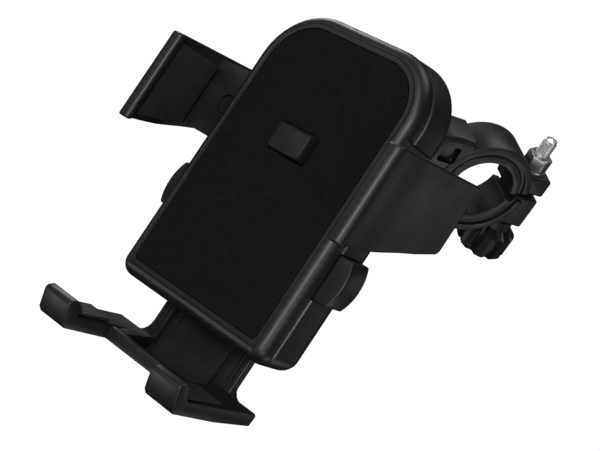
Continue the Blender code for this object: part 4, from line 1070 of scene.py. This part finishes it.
def build_pieces():
    """Make every visible piece."""
    clamp, head = CLAMP_FRAME, HEAD_FRAME
    show(clamp_body(), "clamp_body", "handlebar_side", clamp, SATIN)
    show(liner(6.0, 174.0), "upper_liner", "handlebar_side", clamp, LINER)
    pin = rod("X", HINGE_YZ, 1.5, 0.2 - RING_HALF, RING_HALF - 0.2, 16)
    show(pin, "hinge_pin", "handlebar_side", clamp, ZINC)
    show(hex_nut(), "hex_nut", "handlebar_side", clamp, ZINC)
    show(lock_washer(), "washer", "handlebar_side", clamp, ZINC)
    show(clamp_lower_jaw(), "clamp_lower_jaw", "lower_jaw", clamp, SATIN)
    show(liner(-174.0, -40.0), "lower_liner", "lower_jaw", clamp, LINER)
    show(thumb_knob(), "thumb_knob", "screw", clamp, SATIN)
    show(threaded_screw(), "clamp_screw", "screw", clamp, THREAD)
    show(shell_zone(59.5, 70.0), "ball_friction_ring", "tilt_link", head, NYLON)
    show(shell_zone(121.0, 180.0), "socket_cup", "pan_link", head, NYLON)
    show(socket_ring_nut(), "socket_ring_nut", "ring_nut", head, SATIN)
    show(face_pad(), "face_pad", "cradle_head", head, PAD)
    show(front_shell(), "front_shell", "cradle_head", head, SATIN)
    show(rear_shell(), "rear_shell", "cradle_head", head, SATIN)
    for i, place in enumerate(CASE_SCREWS):
        show(case_screw(place), "case_screw_%d" % (i + 1), "cradle_head", head, ZINC)
    show(channel_cover(), "channel_cover", "cradle_head", head, SATIN)
    show(trigger_button(), "trigger_button", "trigger", head, KEY_PLASTIC)
    show(left_arm(), "left_arm", "left_arm_group", head, SATIN)
    show(right_arm(), "right_arm", "right_arm_group", head, SATIN)
    pad = jaw_pad()
    show(mirrored(pad), "right_jaw_pad", "right_arm_group", head, RUBBER)
    show(pad, "left_jaw_pad", "left_arm_group", head, RUBBER)
    key = release_button()
    show(mirrored(key), "right_release_button", "right_button", head, SATIN)
    show(key, "left_release_button", "left_button", head, SATIN)
    show(foot_slider(), "foot_slider", "foot", head, SATIN)
    pad = foot_pad()
    show(mirrored(pad), "left_foot_pad", "foot", head, RUBBER)
    show(pad, "right_foot_pad", "foot", head, RUBBER)
    build_springs()
    carried = {"latch_plate": WIRE, "pinion_pin": ZINC, "foot_detent_leaf": WIRE, "pinion_gear": NYLON}
    for node, material in carried.items():
        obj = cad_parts[node]
        for place in obj.material_slots:
            place.material = material


# ---------------------------------------------------------------- camera, floor and light

CAMERA_POSITION = (338.45, -355.33, -34.13)
CAMERA_RIGHT = Vector((0.6393, 0.5353, 0.5521))
CAMERA_UP = Vector((-0.3834, -0.4005, 0.8322))
CAMERA_LENS = 95.36
CAMERA_SHIFT = (0.0016, -0.0061)
SENSOR_WIDTH = 36.0
FLOOR_HALF = 6.0
FLOOR_Z = -0.95
BACKGROUND = 1.05
SURROUND = 0.022
AIM = Vector((0.0, -0.05, -0.01))
SOFT_BOXES = {
    "rear_right": ((0.60, 0.70, 0.12), (0.30, 0.45), 0.34),
    "rear_low": ((0.57, 0.52, -0.56), (0.30, 0.30), 0.80),
    "front": ((0.02, -0.80, 0.35), (0.40, 0.60), 2.0),
    "front_left": ((-0.64, -0.66, 0.25), (0.45, 0.50), 0.5),
    "near_camera": ((0.40, -0.82, 0.05), (0.25, 0.50), 4.0),
    "right_low": ((0.72, -0.42, -0.32), (0.35, 0.45), 1.8),
    "low_left": ((-0.62, -0.56, -0.46), (0.30, 0.30), 0.75),
    "upper_left": ((-0.62, 0.16, 0.50), (0.30, 0.30), 1.3),
    "top": ((0.05, 0.05, 0.85), (0.45, 0.45), 1.6),
}


def add_camera():
    """The camera, in front and to the right of the cradle and rolled by a third of a right angle."""
    data = bpy.data.cameras.new("camera")
    data.lens = CAMERA_LENS
    data.sensor_width = SENSOR_WIDTH
    data.sensor_fit = "HORIZONTAL"
    data.clip_start = 0.01
    data.shift_x, data.shift_y = CAMERA_SHIFT
    camera = bpy.data.objects.new("camera", data)
    right = CAMERA_RIGHT.normalized()
    back = right.cross(CAMERA_UP).normalized()
    up = back.cross(right)
    turn = Matrix((right, up, back)).transposed().to_4x4()
    camera.matrix_world = Matrix.Translation(HEAD_FRAME @ Vector(CAMERA_POSITION)) @ turn
    bpy.context.collection.objects.link(camera)
    bpy.context.scene.camera = camera


def area_light(name, position, target, size, power):
    """A soft box aimed at a point."""
    data = bpy.data.lights.new(name, "AREA")
    data.shape = "RECTANGLE"
    data.size, data.size_y = size
    data.energy = power
    light = bpy.data.objects.new(name, data)
    position = Vector(position)
    aim = (Vector(target) - position).to_track_quat("-Z", "Y")
    light.matrix_world = Matrix.Translation(position) @ aim.to_matrix().to_4x4()
    bpy.context.collection.objects.link(light)


def add_floor():
    """A large pale floor well below the object, as white as the surround."""
    mesh = bpy.data.meshes.new("floor")
    corners = [(sx * FLOOR_HALF, sy * FLOOR_HALF, FLOOR_Z)
               for sx, sy in ((-1, -1), (1, -1), (1, 1), (-1, 1))]
    mesh.from_pydata(corners, [], [(0, 1, 2, 3)])
    floor = bpy.data.objects.new("floor", mesh)
    bpy.context.collection.objects.link(floor)
    floor.visible_diffuse = False
    floor.visible_glossy = False
    material, tree, shader, place = new_material("pale_floor")
    tree.links.new(tint(tree, noise(tree, place, 3.0), (0.86, 0.86, 0.86), (0.9, 0.9, 0.9)),
                   shader.inputs["Base Color"])
    shader.inputs["Roughness"].default_value = 0.9
    shader.inputs["Emission Color"].default_value = (1.0, 1.0, 1.0, 1.0)
    shader.inputs["Emission Strength"].default_value = 1.0
    mesh.materials.append(material)


def add_world():
    """White behind the object, and a dim surround for its shading."""
    world = bpy.data.worlds.new("studio")
    bpy.context.scene.world = world
    world.use_nodes = True
    nodes, links = world.node_tree.nodes, world.node_tree.links
    background = nodes["Background"]
    rays = nodes.new("ShaderNodeLightPath")
    level = nodes.new("ShaderNodeMapRange")
    level.inputs["To Min"].default_value = SURROUND
    level.inputs["To Max"].default_value = BACKGROUND
    links.new(rays.outputs["Is Camera Ray"], level.inputs["Value"])
    links.new(level.outputs["Result"], background.inputs["Strength"])
    background.inputs["Color"].default_value = (1.0, 1.0, 1.0, 1.0)


def add_lights():
    """Every soft box, aimed at the cradle."""
    for name, (position, size, power) in SOFT_BOXES.items():
        area_light(name, AIM + Vector(position), AIM, size, power)


build_pieces()
add_camera()
add_floor()
add_world()
add_lights()
bpy.context.scene.view_settings.view_transform = "Standard"
